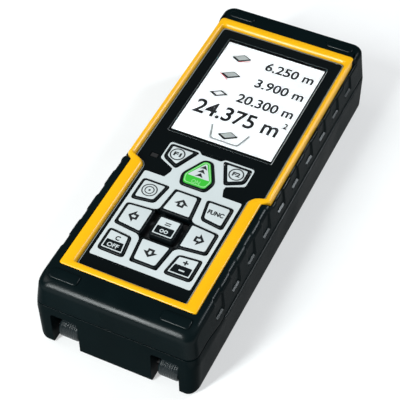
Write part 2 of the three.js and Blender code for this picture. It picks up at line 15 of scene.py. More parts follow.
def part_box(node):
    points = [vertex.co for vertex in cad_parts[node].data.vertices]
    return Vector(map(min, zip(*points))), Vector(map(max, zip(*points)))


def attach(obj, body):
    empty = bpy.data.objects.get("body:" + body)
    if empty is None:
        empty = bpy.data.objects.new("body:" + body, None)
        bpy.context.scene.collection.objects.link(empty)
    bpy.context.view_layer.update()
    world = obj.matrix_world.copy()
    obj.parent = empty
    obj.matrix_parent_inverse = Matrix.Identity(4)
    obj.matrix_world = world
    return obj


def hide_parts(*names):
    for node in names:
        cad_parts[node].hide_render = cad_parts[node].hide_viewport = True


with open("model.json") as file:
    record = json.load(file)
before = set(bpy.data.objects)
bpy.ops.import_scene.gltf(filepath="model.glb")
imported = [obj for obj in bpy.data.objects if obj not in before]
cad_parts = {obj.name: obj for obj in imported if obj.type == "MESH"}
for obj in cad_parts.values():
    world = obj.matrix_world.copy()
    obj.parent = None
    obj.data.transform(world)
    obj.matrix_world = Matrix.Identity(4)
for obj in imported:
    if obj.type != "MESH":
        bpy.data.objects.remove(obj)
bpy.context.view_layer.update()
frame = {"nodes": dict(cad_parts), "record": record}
NODES = frame["nodes"]
MM = 0.001


def cad(node):
    """Lowest and highest corner of a CAD node, in millimetres, as two arrays."""
    low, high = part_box(node)
    return np.array(low) / MM, np.array(high) / MM


# ---------------------------------------------------------------- sizes taken from the frame
CASE_LOW, CASE_HIGH = cad("rear_shell")
HALF_X = CASE_HIGH[0]
NEAR_Y, FAR_Y = CASE_LOW[1], CASE_HIGH[1]
PAD_TOP = cad("front_shell")[1][2]
PAD_HEIGHT = 0.5
TOP = PAD_TOP - PAD_HEIGHT
BEZEL_LOW, BEZEL_HIGH = cad("bezel_frame")
PANEL_LOW, PANEL_HIGH = cad("front_panel")
PANEL_Z = PANEL_HIGH[2]
KEY_TOP = cad("key_up")[1][2]
BRACKET_LOW, BRACKET_HIGH = cad("positioning_bracket")
DOOR_LOW, DOOR_HIGH = cad("battery_door")
LATCH_LOW, LATCH_HIGH = cad("door_latch")
INSERT_LOW, INSERT_HIGH = cad("tripod_insert")
LENS_LOW, LENS_HIGH = cad("receiver_lens")
LENS_PANEL_LOW, LENS_PANEL_HIGH = cad("lens_panel")

# ---------------------------------------------------------------- sizes of the case
WIDEST_Z = 16.0
FOOT_HALF_X = 28.7
TOP_HALF_X = 27.4
NEAR_LEAN = 1.1
LEDGE_Z = 27.2
SEAM_LOW = 17.5
SEAM_HIGH = 19.2
SEAM_RAMP = (-62.0, -54.0)
SEAM_GAP = 0.3
SEAM_INSET = 0.35
STEP_Y = (-12.4, -10.0)
BEZEL_LOWER_HALF = 24.2
PANEL_LOWER_HALF = 19.65
FLUTE_FIRST, FLUTE_PITCH, FLUTE_COUNT, FLUTE_HALF = -52.8, 12.1, 10, 3.2
FLUTE_LEDGE_Z = 21.0
PIVOT_Y, PIVOT_Z = -66.45, 4.5


# ---------------------------------------------------------------- mesh tools

def finish_mesh(name, points, faces, material, body, sharp=35.0):
    """An object from points in millimetres and a list of faces, smooth but for edges over sharp degrees.

    Faces are turned outwards together when the volume, the sum of the tetrahedra from the origin
    to each face's fan of triangles, comes out negative.
    """
    mesh = bpy.data.meshes.new(name)
    mesh.from_pydata((np.asarray(points) * MM).tolist(), [], faces)
    mesh.calc_loop_triangles()
    corners = np.empty(len(mesh.loop_triangles) * 3, dtype=np.int32)
    mesh.loop_triangles.foreach_get("vertices", corners)
    a, b, c = (np.asarray(points)[corners.reshape(-1, 3)[:, i]] for i in range(3))
    if np.einsum("ij,ij->i", a, np.cross(b, c)).sum() < 0:
        mesh.flip_normals()
    mesh.shade_smooth()
    mesh.set_sharp_from_angle(angle=math.radians(sharp))
    mesh.materials.append(material)
    piece = bpy.data.objects.new(name, mesh)
    bpy.context.scene.collection.objects.link(piece)
    if body:
        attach(piece, body)
    return piece


def stack_faces(rings, count, looped):
    """Quads between neighbouring rings of count points; looped joins the last ring to the first."""
    ring = np.arange(rings if looped else rings - 1)[:, None]
    step = np.arange(count)[None, :]
    after = (step + 1) % count
    above = (ring + 1) % rings
    quads = np.stack([ring * count + step, ring * count + after, above * count + after,
                      above * count + step], axis=-1)
    return quads.reshape(-1, 4).tolist()


def stack(name, rings, material, body, looped=False, sharp=35.0):
    """A closed skin through rings of points: its two ends are capped, or they meet when looped."""
    rings = np.asarray(rings, dtype=float)
    levels, count = rings.shape[:2]
    faces = stack_faces(levels, count, looped)
    if not looped:
        faces.append(list(range(count))[::-1])
        faces.append(list(range((levels - 1) * count, levels * count)))
    return finish_mesh(name, rings.reshape(-1, 3), faces, material, body, sharp)


LEAST_ROUNDING = 0.02
MOST_OF_EDGE = 0.45
ROUNDING_GROWTH = 0.6


def contour(points, grow=0.0, arc=6):
    """A polygon of [x, y, rounding] moved outwards by grow, each corner a parabola of arc points.

    The corner point is where the two neighbouring edges meet after both move out by grow, and the
    parabola starts and ends one rounding, plus 0.6 of any growth, away from it along each edge.
    """
    ring = np.array([(p[0], p[1]) for p in points], dtype=float)
    rounding = np.array([p[2] if len(p) > 2 else 0.0 for p in points], dtype=float)
    following = np.roll(ring, -1, axis=0)
    if (ring[:, 0] * following[:, 1] - following[:, 0] * ring[:, 1]).sum() < 0:
        ring = ring[::-1].copy()
        rounding = rounding[::-1].copy()
        following = np.roll(ring, -1, axis=0)
    edge = following - ring
    out = np.stack([edge[:, 1], -edge[:, 0]], axis=1) / np.linalg.norm(edge, axis=1)[:, None]
    back = np.roll(out, 1, axis=0)
    corner = ring + (out + back) * (grow / (1 + (out * back).sum(1)))[:, None]
    ahead = np.roll(corner, -1, axis=0) - corner
    behind = np.roll(corner, 1, axis=0) - corner
    long_a = np.linalg.norm(ahead, axis=1)
    long_b = np.linalg.norm(behind, axis=1)
    wide = rounding + ROUNDING_GROWTH * max(grow, 0.0) * (rounding > 0)
    setback = np.minimum(np.maximum(wide, LEAST_ROUNDING), MOST_OF_EDGE * np.minimum(long_a, long_b))
    start = corner + behind * (setback / long_b)[:, None]
    end = corner + ahead * (setback / long_a)[:, None]
    t = np.linspace(0, 1, arc)[None, :, None]
    bend = (1 - t) ** 2 * start[:, None] + 2 * t * (1 - t) * corner[:, None] + t ** 2 * end[:, None]
    return bend.reshape(-1, 2)


def at(outline, z):
    """A flat outline with the same z added to every point, as one ring."""
    return np.column_stack([outline, np.full(len(outline), float(z))])


def mirrored(half):
    """The right half of an outline, from near to far, followed by its mirror image."""
    return half + [[-p[0]] + list(p[1:]) for p in reversed(half)]


def slab(name, points, z0, z1, material, body, edge=0.0, grow=0.0, both=False, steps=4):
    """A plate of one outline between two heights, its top edge (and bottom edge, if both) rounded.

    Around the rounding, the outline shrinks by edge times (1 - cos a) while the height follows
    edge times sin a, for a from 0 to 90 degrees.
    """
    turn = np.linspace(0, math.pi / 2, steps)
    levels = []
    if both and edge:
        for a in turn[::-1]:
            lower = contour(points, grow - edge * (1 - math.cos(a)))
            levels.append(at(lower, z0 + edge * (1 - math.sin(a))))
    else:
        levels.append(at(contour(points, grow), z0))
    if edge:
        for a in turn:
            upper = contour(points, grow - edge * (1 - math.cos(a)))
            levels.append(at(upper, z1 - edge * (1 - math.sin(a))))
    else:
        levels.append(at(contour(points, grow), z1))
    return stack(name, levels, material, body)


def flat_print(name, outlines, z, material, body, thick=0.03):
    """A thin printed layer: flat outlines filled so that one inside another is a hole."""
    curve = bpy.data.curves.new(name, "CURVE")
    curve.dimensions = "2D"
    curve.fill_mode = "BOTH"
    curve.extrude = thick * MM / 2
    for outline in outlines:
        spline = curve.splines.new("POLY")
        spline.points.add(len(outline) - 1)
        flat = np.column_stack([np.asarray(outline) * MM, np.zeros(len(outline)), np.ones(len(outline))])
        spline.points.foreach_set("co", flat.ravel())
        spline.use_cyclic_u = True
    return settle(curve, name, material, body, z=z + thick / 2)


def settle(curve, name, material, body, z, box=None):
    """A curve or text made a mesh, fitted to box (x0, x1, y0, y1) if given, raised to z, riding on body.

    The fit is a straight scaling in x and in y, from the mesh's own extent to the box's.
    """
    holder = bpy.data.objects.new(name + "_flat", curve)
    bpy.context.scene.collection.objects.link(holder)
    bpy.context.view_layer.update()
    graph = bpy.context.evaluated_depsgraph_get()
    mesh = bpy.data.meshes.new_from_object(holder.evaluated_get(graph))
    bpy.data.objects.remove(holder)
    points = np.empty(len(mesh.vertices) * 3)
    mesh.vertices.foreach_get("co", points)
    points = points.reshape(-1, 3)
    if box:
        low, high = points.min(0), points.max(0)
        x0, x1, y0, y1 = (v * MM for v in box)
        points[:, 0] = x0 + (points[:, 0] - low[0]) * (x1 - x0) / (high[0] - low[0])
        points[:, 1] = y0 + (points[:, 1] - low[1]) * (y1 - y0) / (high[1] - low[1])
    points[:, 2] += z * MM
    mesh.vertices.foreach_set("co", points.ravel())
    mesh.name = name
    mesh.materials.clear()
    mesh.materials.append(material)
    piece = bpy.data.objects.new(name, mesh)
    bpy.context.scene.collection.objects.link(piece)
    merge_doubles(mesh)
    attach(piece, body)
    return piece


def merge_doubles(mesh):
    """Joins vertices closer than a tenth of a micrometre."""
    work = bmesh.new()
    work.from_mesh(mesh)
    bmesh.ops.remove_doubles(work, verts=work.verts, dist=1e-7)
    bmesh.ops.recalc_face_normals(work, faces=work.faces)
    work.to_mesh(mesh)
    work.free()
    mesh.update()


def legend(name, words, box, z, material, body, weight=0.0, thick=0.03):
    """Generic lettering or figures as a thin print filling box (x0, x1, y0, y1)."""
    text = bpy.data.curves.new(name, "FONT")
    text.body = words
    text.extrude = thick * MM / 2
    text.resolution_u = 4
    size = (box[3] - box[2]) * MM
    text.size = size
    text.offset = weight * size
    return settle(text, name, material, body, z=z + thick / 2, box=box)


def circle(x, y, radius, count=48):
    """A round outline: the centre plus radius times the cosine and sine of evenly spaced angles."""
    a = np.linspace(0, 2 * math.pi, count, endpoint=False)
    return np.column_stack([x + radius * np.cos(a), y + radius * np.sin(a)])


def shift(outline, dx, dy):
    """An outline with dx added to each x and dy to each y."""
    return np.asarray(outline) + np.array([dx, dy])


def turned(outline, degrees):
    """An outline turned about its own origin: each point times the rotation matrix of the angle."""
    a = math.radians(degrees)
    return np.asarray(outline) @ np.array([[math.cos(a), math.sin(a)], [-math.sin(a), math.cos(a)]])


def lathe_y(name, profile, x, z, material, body, count=64, looped=False):
    """Rings of radius r at station y about an axis along Y, for each (y, r) of the profile."""
    a = np.linspace(0, 2 * math.pi, count, endpoint=False)
    rings = [np.column_stack([x + r * np.cos(a), np.full(count, y), z + r * np.sin(a)])
             for y, r in profile]
    return stack(name, rings, material, body, looped)


def lathe_z(name, profile, x, y, material, body, count=64):
    """Rings of radius r at height z about an axis along Z, for each (z, r) of the profile."""
    a = np.linspace(0, 2 * math.pi, count, endpoint=False)
    rings = [np.column_stack([x + r * np.cos(a), y + r * np.sin(a), np.full(count, z)])
             for z, r in profile]
    return stack(name, rings, material, body)


CARVED_SHARP = 32


def carve(piece, cutters):
    """Cuts the closed meshes in cutters out of piece, keeps its material, and removes the cutters."""
    for tool in cutters:
        cut = piece.modifiers.new("cut", "BOOLEAN")
        cut.operation = "DIFFERENCE"
        cut.solver = "EXACT"
        cut.object = tool
    bpy.context.view_layer.update()
    graph = bpy.context.evaluated_depsgraph_get()
    mesh = bpy.data.meshes.new_from_object(piece.evaluated_get(graph))
    piece.modifiers.clear()
    piece.data = mesh
    for tool in cutters:
        bpy.data.objects.remove(tool)
    mesh.shade_smooth()
    mesh.set_sharp_from_angle(angle=math.radians(CARVED_SHARP))


# ---------------------------------------------------------------- materials

def surface(name, colour, rough, metal=0.0, ior=1.5, spread=0.1, rough_spread=0.06, grain=0.0,
            grain_scale=2500.0, blotch_scale=60.0, coat=0.0, glow=0.0, specular=0.5, soft=False):
    """Moulded, printed or plated surface: its colour and gloss wander with two noises, over a fine bump.

    The wide noise moves the colour between two shades, the same noise moves the roughness, and the
    fine noise is the grain that the bump reads. All of them read Object coordinates. A soft surface
    loses its shine where it is seen at a low angle, as matt rubber does.
    """
    mat = bpy.data.materials.new(name)
    mat.use_nodes = True
    nodes, links = mat.node_tree.nodes, mat.node_tree.links
    shader = nodes["Principled BSDF"]
    shader.inputs["Metallic"].default_value = metal
    shader.inputs["Specular IOR Level"].default_value = specular
    shader.inputs["IOR"].default_value = ior
    shader.inputs["Coat Weight"].default_value = coat
    shader.inputs["Coat Roughness"].default_value = 0.06
    place = nodes.new("ShaderNodeTexCoord")
    blotch = nodes.new("ShaderNodeTexNoise")
    blotch.inputs["Scale"].default_value = blotch_scale
    blotch.inputs["Detail"].default_value = 5.0
    links.new(place.outputs["Object"], blotch.inputs["Vector"])
    shades = nodes.new("ShaderNodeValToRGB")
    dark = [c * (1 - spread) for c in colour]
    light = [min(1.0, c * (1 + spread)) for c in colour]
    shades.color_ramp.elements[0].position = 0.3
    shades.color_ramp.elements[0].color = (*dark, 1)
    shades.color_ramp.elements[1].position = 0.7
    shades.color_ramp.elements[1].color = (*light, 1)
    links.new(blotch.outputs["Fac"], shades.inputs["Fac"])
    links.new(shades.outputs["Color"], shader.inputs["Base Color"])
    gloss = nodes.new("ShaderNodeMapRange")
    gloss.inputs["From Min"].default_value = 0.3
    gloss.inputs["From Max"].default_value = 0.7
    gloss.inputs["To Min"].default_value = max(0.02, rough - rough_spread)
    gloss.inputs["To Max"].default_value = rough + rough_spread
    links.new(blotch.outputs["Fac"], gloss.inputs["Value"])
    links.new(gloss.outputs["Result"], shader.inputs["Roughness"])
    if soft:
        facing = nodes.new("ShaderNodeLayerWeight")
        facing.inputs["Blend"].default_value = 0.5
        sheen = nodes.new("ShaderNodeMapRange")
        sheen.inputs["From Min"].default_value = 0.1
        sheen.inputs["From Max"].default_value = 0.45
        sheen.inputs["To Min"].default_value = specular
        sheen.inputs["To Max"].default_value = 0.03
        links.new(facing.outputs["Facing"], sheen.inputs["Value"])
        links.new(sheen.outputs["Result"], shader.inputs["Specular IOR Level"])
    if glow:
        links.new(shades.outputs["Color"], shader.inputs["Emission Color"])
        shader.inputs["Emission Strength"].default_value = glow
    if grain:
        fine = nodes.new("ShaderNodeTexNoise")
        fine.inputs["Scale"].default_value = grain_scale
        fine.inputs["Detail"].default_value = 3.0
        links.new(place.outputs["Object"], fine.inputs["Vector"])
        bump = nodes.new("ShaderNodeBump")
        bump.inputs["Strength"].default_value = grain
        bump.inputs["Distance"].default_value = 0.00005
        links.new(fine.outputs["Fac"], bump.inputs["Height"])
        links.new(bump.outputs["Normal"], shader.inputs["Normal"])
    return mat


def clear_window(name, tint):
    """Clear plastic or glass: nearly all light goes through, with faint haze from a wide noise."""
    mat = surface(name, tint, 0.03, spread=0.02, rough_spread=0.01, specular=0.3)
    shader = mat.node_tree.nodes["Principled BSDF"]
    shader.inputs["Transmission Weight"].default_value = 1.0
    shader.inputs["IOR"].default_value = 1.02
    return mat


def turned_metal(name, colour, rough, stretch):
    """Bare metal with fine tool marks: a noise stretched by stretch along one axis, read as bump."""
    mat = surface(name, colour, rough, metal=1.0, spread=0.08)
    nodes, links = mat.node_tree.nodes, mat.node_tree.links
    place = nodes["Texture Coordinate"]
    squeeze = nodes.new("ShaderNodeMapping")
    squeeze.inputs["Scale"].default_value = stretch
    marks = nodes.new("ShaderNodeTexNoise")
    marks.inputs["Scale"].default_value = 900.0
    bump = nodes.new("ShaderNodeBump")
    bump.inputs["Strength"].default_value = 0.25
    bump.inputs["Distance"].default_value = 0.00003
    links.new(place.outputs["Object"], squeeze.inputs["Vector"])
    links.new(squeeze.outputs["Vector"], marks.inputs["Vector"])
    links.new(marks.outputs["Fac"], bump.inputs["Height"])
    links.new(bump.outputs["Normal"], nodes["Principled BSDF"].inputs["Normal"])
    return mat


OVERMOULD = surface("overmould", (0.0014, 0.0048, 0.0056), 0.28, spread=0.15, grain=0.25,
                    grain_scale=5200, ior=1.25, soft=True)
REAR_PLASTIC = surface("rear_plastic", (0.0014, 0.0045, 0.0052), 0.32, spread=0.15, grain=0.25,
                       grain_scale=4200, ior=1.2, soft=True)
BRACKET_PLASTIC = surface("bracket_plastic", (0.008, 0.013, 0.015), 0.28, grain=0.2, grain_scale=3600,
                          ior=1.4)
BEZEL_YELLOW = surface("bezel_yellow", (0.80, 0.40, 0.001), 0.33, spread=0.04, grain=0.15,
                       grain_scale=3000, specular=0.4)
PANEL_BLACK = surface("panel_black", (0.0010, 0.0026, 0.0032), 0.09, spread=0.2, rough_spread=0.03,
                      blotch_scale=25, ior=1.3)
SILVER_PRINT = surface("silver_print", (0.53, 0.57, 0.575), 0.38, spread=0.03, grain=0.15,
                       grain_scale=7000)
KEY_BLACK = surface("key_black", (0.004, 0.006, 0.007), 0.34, spread=0.2, grain=0.25, grain_scale=6000,
                    ior=1.2)
KEY_GREEN = surface("key_green", (0.035, 0.42, 0.03), 0.36, spread=0.06, grain=0.15, grain_scale=6000)
KEY_LIME = surface("key_lime", (0.28, 0.62, 0.26), 0.36, spread=0.06, grain=0.15, grain_scale=6000)
INK_BLACK = surface("ink_black", (0.008, 0.010, 0.011), 0.4, spread=0.1)
# The screen's white, greys and red emit light: a painted glow that brightens the screen, strongest on the
# white.
SCREEN_GLOW_WHITE = surface("screen_white_painted_glow", (0.93, 0.95, 0.965), 0.3, spread=0.01, glow=0.5)
SCREEN_INK = surface("screen_ink", (0.010, 0.011, 0.013), 0.35, spread=0.1)
SCREEN_GREY = surface("screen_grey", (0.58, 0.62, 0.61), 0.35, spread=0.04, glow=0.1)
SCREEN_PALE = surface("screen_pale", (0.42, 0.45, 0.45), 0.35, spread=0.04, glow=0.1)
SCREEN_RED = surface("screen_red", (0.78, 0.16, 0.18), 0.35, spread=0.05, glow=0.1)
# Grey for the line along the display panel's rim: a painted highlight, the light that the rim catches.
PANEL_RIM_HIGHLIGHT = surface("panel_rim_painted_highlight", (0.22, 0.25, 0.25), 0.25, spread=0.1)
OUTLINE_GREY = surface("outline_grey", (0.045, 0.06, 0.062), 0.25, spread=0.1)
CLEAR = clear_window("window_clear", (0.97, 0.98, 0.98))
LENS_GLASS = surface("lens_glass", (0.012, 0.022, 0.060), 0.05, ior=1.6, spread=0.3, rough_spread=0.01,
                     coat=1.0)
SILICONE = surface("silicone", (0.05, 0.055, 0.058), 0.62, grain=0.2)
BOARD_GREEN = surface("board_green", (0.01, 0.12, 0.035), 0.35, spread=0.25, blotch_scale=400)
CHIP_BLACK = surface("chip_black", (0.012, 0.012, 0.013), 0.45, grain=0.2)
STEEL = turned_metal("steel", (0.55, 0.56, 0.57), 0.3, (1, 1, 0.08))
BRASS = turned_metal("brass", (0.72, 0.50, 0.19), 0.28, (1, 1, 6))
CAST_METAL = surface("cast_metal", (0.32, 0.33, 0.34), 0.5, metal=1.0, grain=0.5, grain_scale=1500)
CELL_WRAP = surface("cell_wrap", (0.24, 0.26, 0.28), 0.3, metal=0.4, spread=0.08, coat=0.4)

SLOT_LOOK = {
    "overmould": OVERMOULD, "rear_plastic": REAR_PLASTIC, "bezel_yellow": BEZEL_YELLOW,
    "panel_black": PANEL_BLACK, "display_white": SCREEN_GLOW_WHITE, "window_clear": CLEAR,
    "silver_print": SILVER_PRINT, "key_black": KEY_BLACK, "key_green": KEY_GREEN, "silicone": SILICONE,
    "board_green": BOARD_GREEN, "chip_black": CHIP_BLACK, "steel": STEEL, "brass": BRASS,
    "cast_metal": CAST_METAL, "cell_wrap": CELL_WRAP, "bracket_plastic": BRACKET_PLASTIC,
}


def dress_frame():
    """Gives every CAD node the procedural material of its slot; the surround is black under its print."""
    for part in frame["record"]["subparts"]:
        node = NODES[part["node"]]
        node.data.materials.clear()
        node.data.materials.append(SLOT_LOOK[part["material_slot"]])
    NODES["keypad_surround"].data.materials[0] = PANEL_BLACK


# ---------------------------------------------------------------- case

def perimeter(side_x, side_y, near_y, far_y, r_near, r_far, ends=29, arc=9):
    """A plan outline, counter-clockwise: near edge, right side, far edge, left side, with round corners.

    side_x and side_y are arrays that give the right side from near to far; the left side mirrors it.
    A corner is its centre plus its radius times the sine and cosine of evenly spaced angles.
    """
    near_half = side_x[0] - r_near
    far_half = side_x[-1] - r_far
    a = np.linspace(0, math.pi / 2, arc + 2)[1:-1]
    near_x = np.linspace(-near_half, near_half, ends)
    far_x = np.linspace(far_half, -far_half, ends)
    right = np.column_stack([side_x, side_y])
    near_corner = np.column_stack([near_half + r_near * np.sin(a), near_y + r_near * (1 - np.cos(a))])
    far_corner = np.column_stack([far_half + r_far * np.cos(a), far_y - r_far * (1 - np.sin(a))])
    flip = np.array([-1.0, 1.0])
    return np.concatenate([
        np.column_stack([near_x, np.full(ends, near_y)]), near_corner, right, far_corner,
        np.column_stack([far_x, np.full(ends, far_y)]), far_corner[::-1] * flip, right[::-1] * flip,
        near_corner[::-1] * flip,
    ])


NEAR_R, FAR_R = 3.7, 3.9
SIDE_STEPS = 420
BEZEL_END = (BEZEL_HIGH[1] - 0.1, BEZEL_HIGH[1] + 0.1)
SIDE_Y = np.unique(np.round(np.concatenate([
    np.linspace(NEAR_Y + NEAR_R, FAR_Y - FAR_R, SIDE_STEPS), STEP_Y, BEZEL_END,
]), 3))


def plan():
    """The plan outline of the case at its widest: straight sides, straight ends and round corners."""
    return perimeter(np.full(len(SIDE_Y), HALF_X), SIDE_Y, NEAR_Y, FAR_Y, NEAR_R, FAR_R)


def half_width(z):
    """Half width of the case at height z: it flares from the back up to WIDEST_Z, then leans in."""
    return np.interp(z, [0, WIDEST_Z, TOP], [FOOT_HALF_X, HALF_X, TOP_HALF_X])


def seam(y):
    """Height of the parting line: high at the near end, a ramp, then low."""
    return np.interp(y, SEAM_RAMP, [SEAM_HIGH, SEAM_LOW])


def smooth(t):
    """Eases from 0 to 1 as t goes from 0 to 1: three t squared less two t cubed."""
    t = np.clip(t, 0, 1)
    return t * t * (3 - 2 * t)


FLUTE_FADE = 1.0
FLUTE_SLOPE = 0.34
FLUTE_DEPTH = (0.6, 0.28)


def flute_depth(y, z):
    """Depth of the grip flutes at (y, z): a hollow with an upright floor in a wall that leans in.

    Along the wall the depth is full, and fades over FLUTE_FADE at each end of a flute. Upwards it grows
    in a straight slope FLUTE_SLOPE high, then shrinks from the first FLUTE_DEPTH to the second.
    """
    place = np.clip(np.round((y - FLUTE_FIRST) / FLUTE_PITCH), 0, FLUTE_COUNT - 1)
    nearest = FLUTE_FIRST + FLUTE_PITCH * place
    along = smooth((FLUTE_HALF - np.abs(y - nearest)) / FLUTE_FADE)
    slope = np.clip((z - FLUTE_LEDGE_Z) / FLUTE_SLOPE, 0, 1)
    return along * slope * np.interp(z, [FLUTE_LEDGE_Z, TOP], FLUTE_DEPTH)


def shell_ring(base, z, inset, side=None):
    """The plan outline at height z, pulled in by inset; side marks the long sides, where flutes are cut.

    x is scaled to the half width at z less the inset, and less the flute's depth. y is scaled to the
    reach of its end less the inset, and at the near end less a lean that grows from the parting line up.
    """
    x, y = base[:, 0], base[:, 1]
    inset = np.broadcast_to(inset, x.shape)
    z = np.broadcast_to(z, x.shape)
    flute = flute_depth(y, z) * side if side is not None else 0.0
    new_x = x * (half_width(z) - inset) / HALF_X - np.sign(x) * flute
    lean = NEAR_LEAN * np.clip((z - SEAM_HIGH) / (TOP - SEAM_HIGH), 0, 1)
    end_inset = inset + np.where(y < 0, lean, 0.0)
    reach = np.where(y < 0, -NEAR_Y, FAR_Y)
    return np.column_stack([new_x, y * (reach - end_inset) / reach, z])


def long_side(base):
    """1 where x is at the full half width, on the two long sides, and 0 on the ends and corners."""
    return ((np.abs(base[:, 0]) > HALF_X - 0.01) & (np.abs(base[:, 1]) < 66)).astype(float)


BEZEL_R = 1.0


def seat_outline(grow):
    """The outline in the top of the case that the bezel stands in, matched point by point to plan().

    The half width is a straight interpolation between the lower and the upper bezel across the step.
    """
    r = BEZEL_R
    side_y = np.interp(SIDE_Y, [SIDE_Y[0], -55, 60, SIDE_Y[-1]],
                       [BEZEL_LOW[1] - grow + r, -55, 60, BEZEL_HIGH[1] + grow - r])
    upper = BEZEL_HIGH[0] + grow
    side_x = np.interp(side_y, STEP_Y, [BEZEL_LOWER_HALF + grow, upper])
    return perimeter(side_x, side_y, BEZEL_LOW[1] - grow, BEZEL_HIGH[1] + grow, r, r)


SEAT_GAP = 0.12
SEAT_DEPTH = 0.9
FRONT_WALL = 2.6
LEDGE_R, TOP_R = 0.7, 1.8
NEAR_EXTRA_R = 1.1
WINDOW_GAP = 0.25


def front_case():
    """Upper shell: a closed loop of rings, up the outside, over the edge, down the seat and back inside.

    The top height is TOP, except beside the wide part of the bezel, where the wall stops under it. Over
    the edge the inset is the radius times (1 - cos a) while the height climbs by the radius times sin a.
    """
    base = plan()
    side = long_side(base)
    y = base[:, 1]
    edge_z = np.interp(y, [*STEP_Y, *BEZEL_END], [TOP, LEDGE_Z, LEDGE_Z, TOP])
    edge_r = np.interp(edge_z, [LEDGE_Z, TOP], [LEDGE_R, TOP_R]) + NEAR_EXTRA_R * smooth((-66 - y) / 4)
    bottom = seam(y) + SEAM_GAP / 2
    rings = [shell_ring(base, bottom, SEAM_INSET, side), shell_ring(base, bottom + 0.1, 0.1, side)]
    low = bottom + SEAM_INSET
    for t in np.linspace(0, 1, 5):
        rings.append(shell_ring(base, low + (FLUTE_LEDGE_Z - low) * t, 0.0, side))
    low = FLUTE_LEDGE_Z + FLUTE_SLOPE
    for t in np.linspace(0, 1, 14):
        rings.append(shell_ring(base, low + (edge_z - edge_r - low) * t, 0.0, side))
    for a in np.linspace(0, math.pi / 2, 8)[1:]:
        climb = edge_z - edge_r * (1 - math.sin(a))
        rings.append(shell_ring(base, climb, edge_r * (1 - math.cos(a)), side))
    seat = seat_outline(SEAT_GAP)
    rings.append(np.column_stack([seat, edge_z]))
    rings.append(at(seat, BEZEL_LOW[2] - SEAT_DEPTH))
    rings.append(shell_ring(base, BEZEL_LOW[2] - SEAT_DEPTH, FRONT_WALL))
    rings.append(shell_ring(base, bottom, FRONT_WALL))
    piece = stack("front_case", rings, OVERMOULD, "case", looped=True, sharp=50)
    carve(piece, [lens_opening()])
    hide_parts("front_shell")


def end_cutter(points, y0, y1):
    """A prism along Y, from y0 to y1, of an outline [x, z, rounding]."""
    outline = contour(points)
    rings = [np.column_stack([outline[:, 0], np.full(len(outline), y), outline[:, 1]]) for y in (y0, y1)]
    return stack("cutter", rings, OVERMOULD, None)


def upright_cutter(points, z0, z1):
    """A prism along Z, from z0 to z1, of an outline [x, y, rounding]."""
    outline = contour(points)
    return stack("cutter", [at(outline, z0), at(outline, z1)], OVERMOULD, None)


def rectangle(x0, x1, y0, y1, r=0.0):
    """The four corners of a rectangle, each with the rounding r."""
    return [[x0, y0, r], [x1, y0, r], [x1, y1, r], [x0, y1, r]]


def lens_opening():
    """Cutter for the lens panel: its box with a gap all round, running out past the far end."""
    low, high = LENS_PANEL_LOW - WINDOW_GAP, LENS_PANEL_HIGH + WINDOW_GAP
    return end_cutter(rectangle(low[0], high[0], low[2], high[2], 2), low[1] - 4, high[1] + 20)


SIDE_FOOT_R, NEAR_FOOT_R, FAR_FOOT_R = 2.9, 1.1, 4.2
LIP = 0.3
LIP_HALF_LENGTH, LIP_MIDDLE_Y = 57.0, 6.0
REAR_FLOOR_Z = 5.2
REAR_WALL = 2.0
REAR_WALL_Y = (-57.5, FAR_Y - 1.8)


def rear_inside():
    """The outline of the lower shell's hollow, matched point by point to plan()."""
    near, far = REAR_WALL_Y
    side_x = np.full(len(SIDE_Y), HALF_X - REAR_WALL)
    side_y = np.interp(SIDE_Y, [SIDE_Y[0], SIDE_Y[-1]], [near + 3, far - 4])
    return perimeter(side_x, side_y, near, far, NEAR_R, FAR_R)


def rear_case():
    """Lower shell: rings from its inside over the parting line, down the outside and round the back edge.

    The back edge has one radius on the long sides, one at the near end and one at the far end. Round
    the corners it is the mix of the two given by the squared parts of the normal. A lip runs under the
    parting line on the long sides.
    """
    base = plan()
    y = base[:, 1]
    tangent = np.roll(base, -1, axis=0) - np.roll(base, 1, axis=0)
    facing = (tangent[:, 1] / np.linalg.norm(tangent, axis=1)) ** 2
    foot_r = SIDE_FOOT_R * facing + np.where(y < 0, NEAR_FOOT_R, FAR_FOOT_R) * (1 - facing)
    top = seam(y) - SEAM_GAP / 2
    on_side = np.abs(base[:, 0]) > HALF_X - 0.01
    lip = LIP * smooth((LIP_HALF_LENGTH - np.abs(y - LIP_MIDDLE_Y)) / 1.5) * on_side
    edge = 0.02 + 0.27 * lip
    inner = rear_inside()
    rings = [at(inner, REAR_FLOOR_Z), np.column_stack([inner, top]), shell_ring(base, top, SEAM_INSET),
             shell_ring(base, top, edge), shell_ring(base, top - edge - 0.5 * lip, -lip),
             shell_ring(base, top - 0.7, -lip)]
    for t in np.linspace(0, 1, 14):
        rings.append(shell_ring(base, (top - 1.1) * (1 - t) + foot_r * t, 0.0))
    for a in np.linspace(0, math.pi / 2, 9)[1:]:
        rings.append(shell_ring(base, foot_r * (1 - math.sin(a)), foot_r * (1 - math.cos(a))))
    piece = stack("rear_case", rings, REAR_PLASTIC, "case", sharp=50)
    carve(piece, rear_cutters())
    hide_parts("rear_shell")


UNDER = -2.0
NOTCH_X, NOTCH_TOP, NOTCH_END_Y = (13.1, 22.9), 15.4, -59.5
PLATE_RECESS_HALF_X, PLATE_RECESS_Y, PLATE_RECESS_TOP = 22.3, (-59.6, -48.9), 3.2
DOOR_RECESS_TOP = 7.0
SCREW_HOLE_R, SCREW_HOLE_TOP = 2.2, 3.5
SOCKET_Y, SOCKET_R, SOCKET_TOP = 16.0, 5.3, 8.9
PIN_HOLE_R, PIN_HOLE_HALF_X = 1.5, 24.9


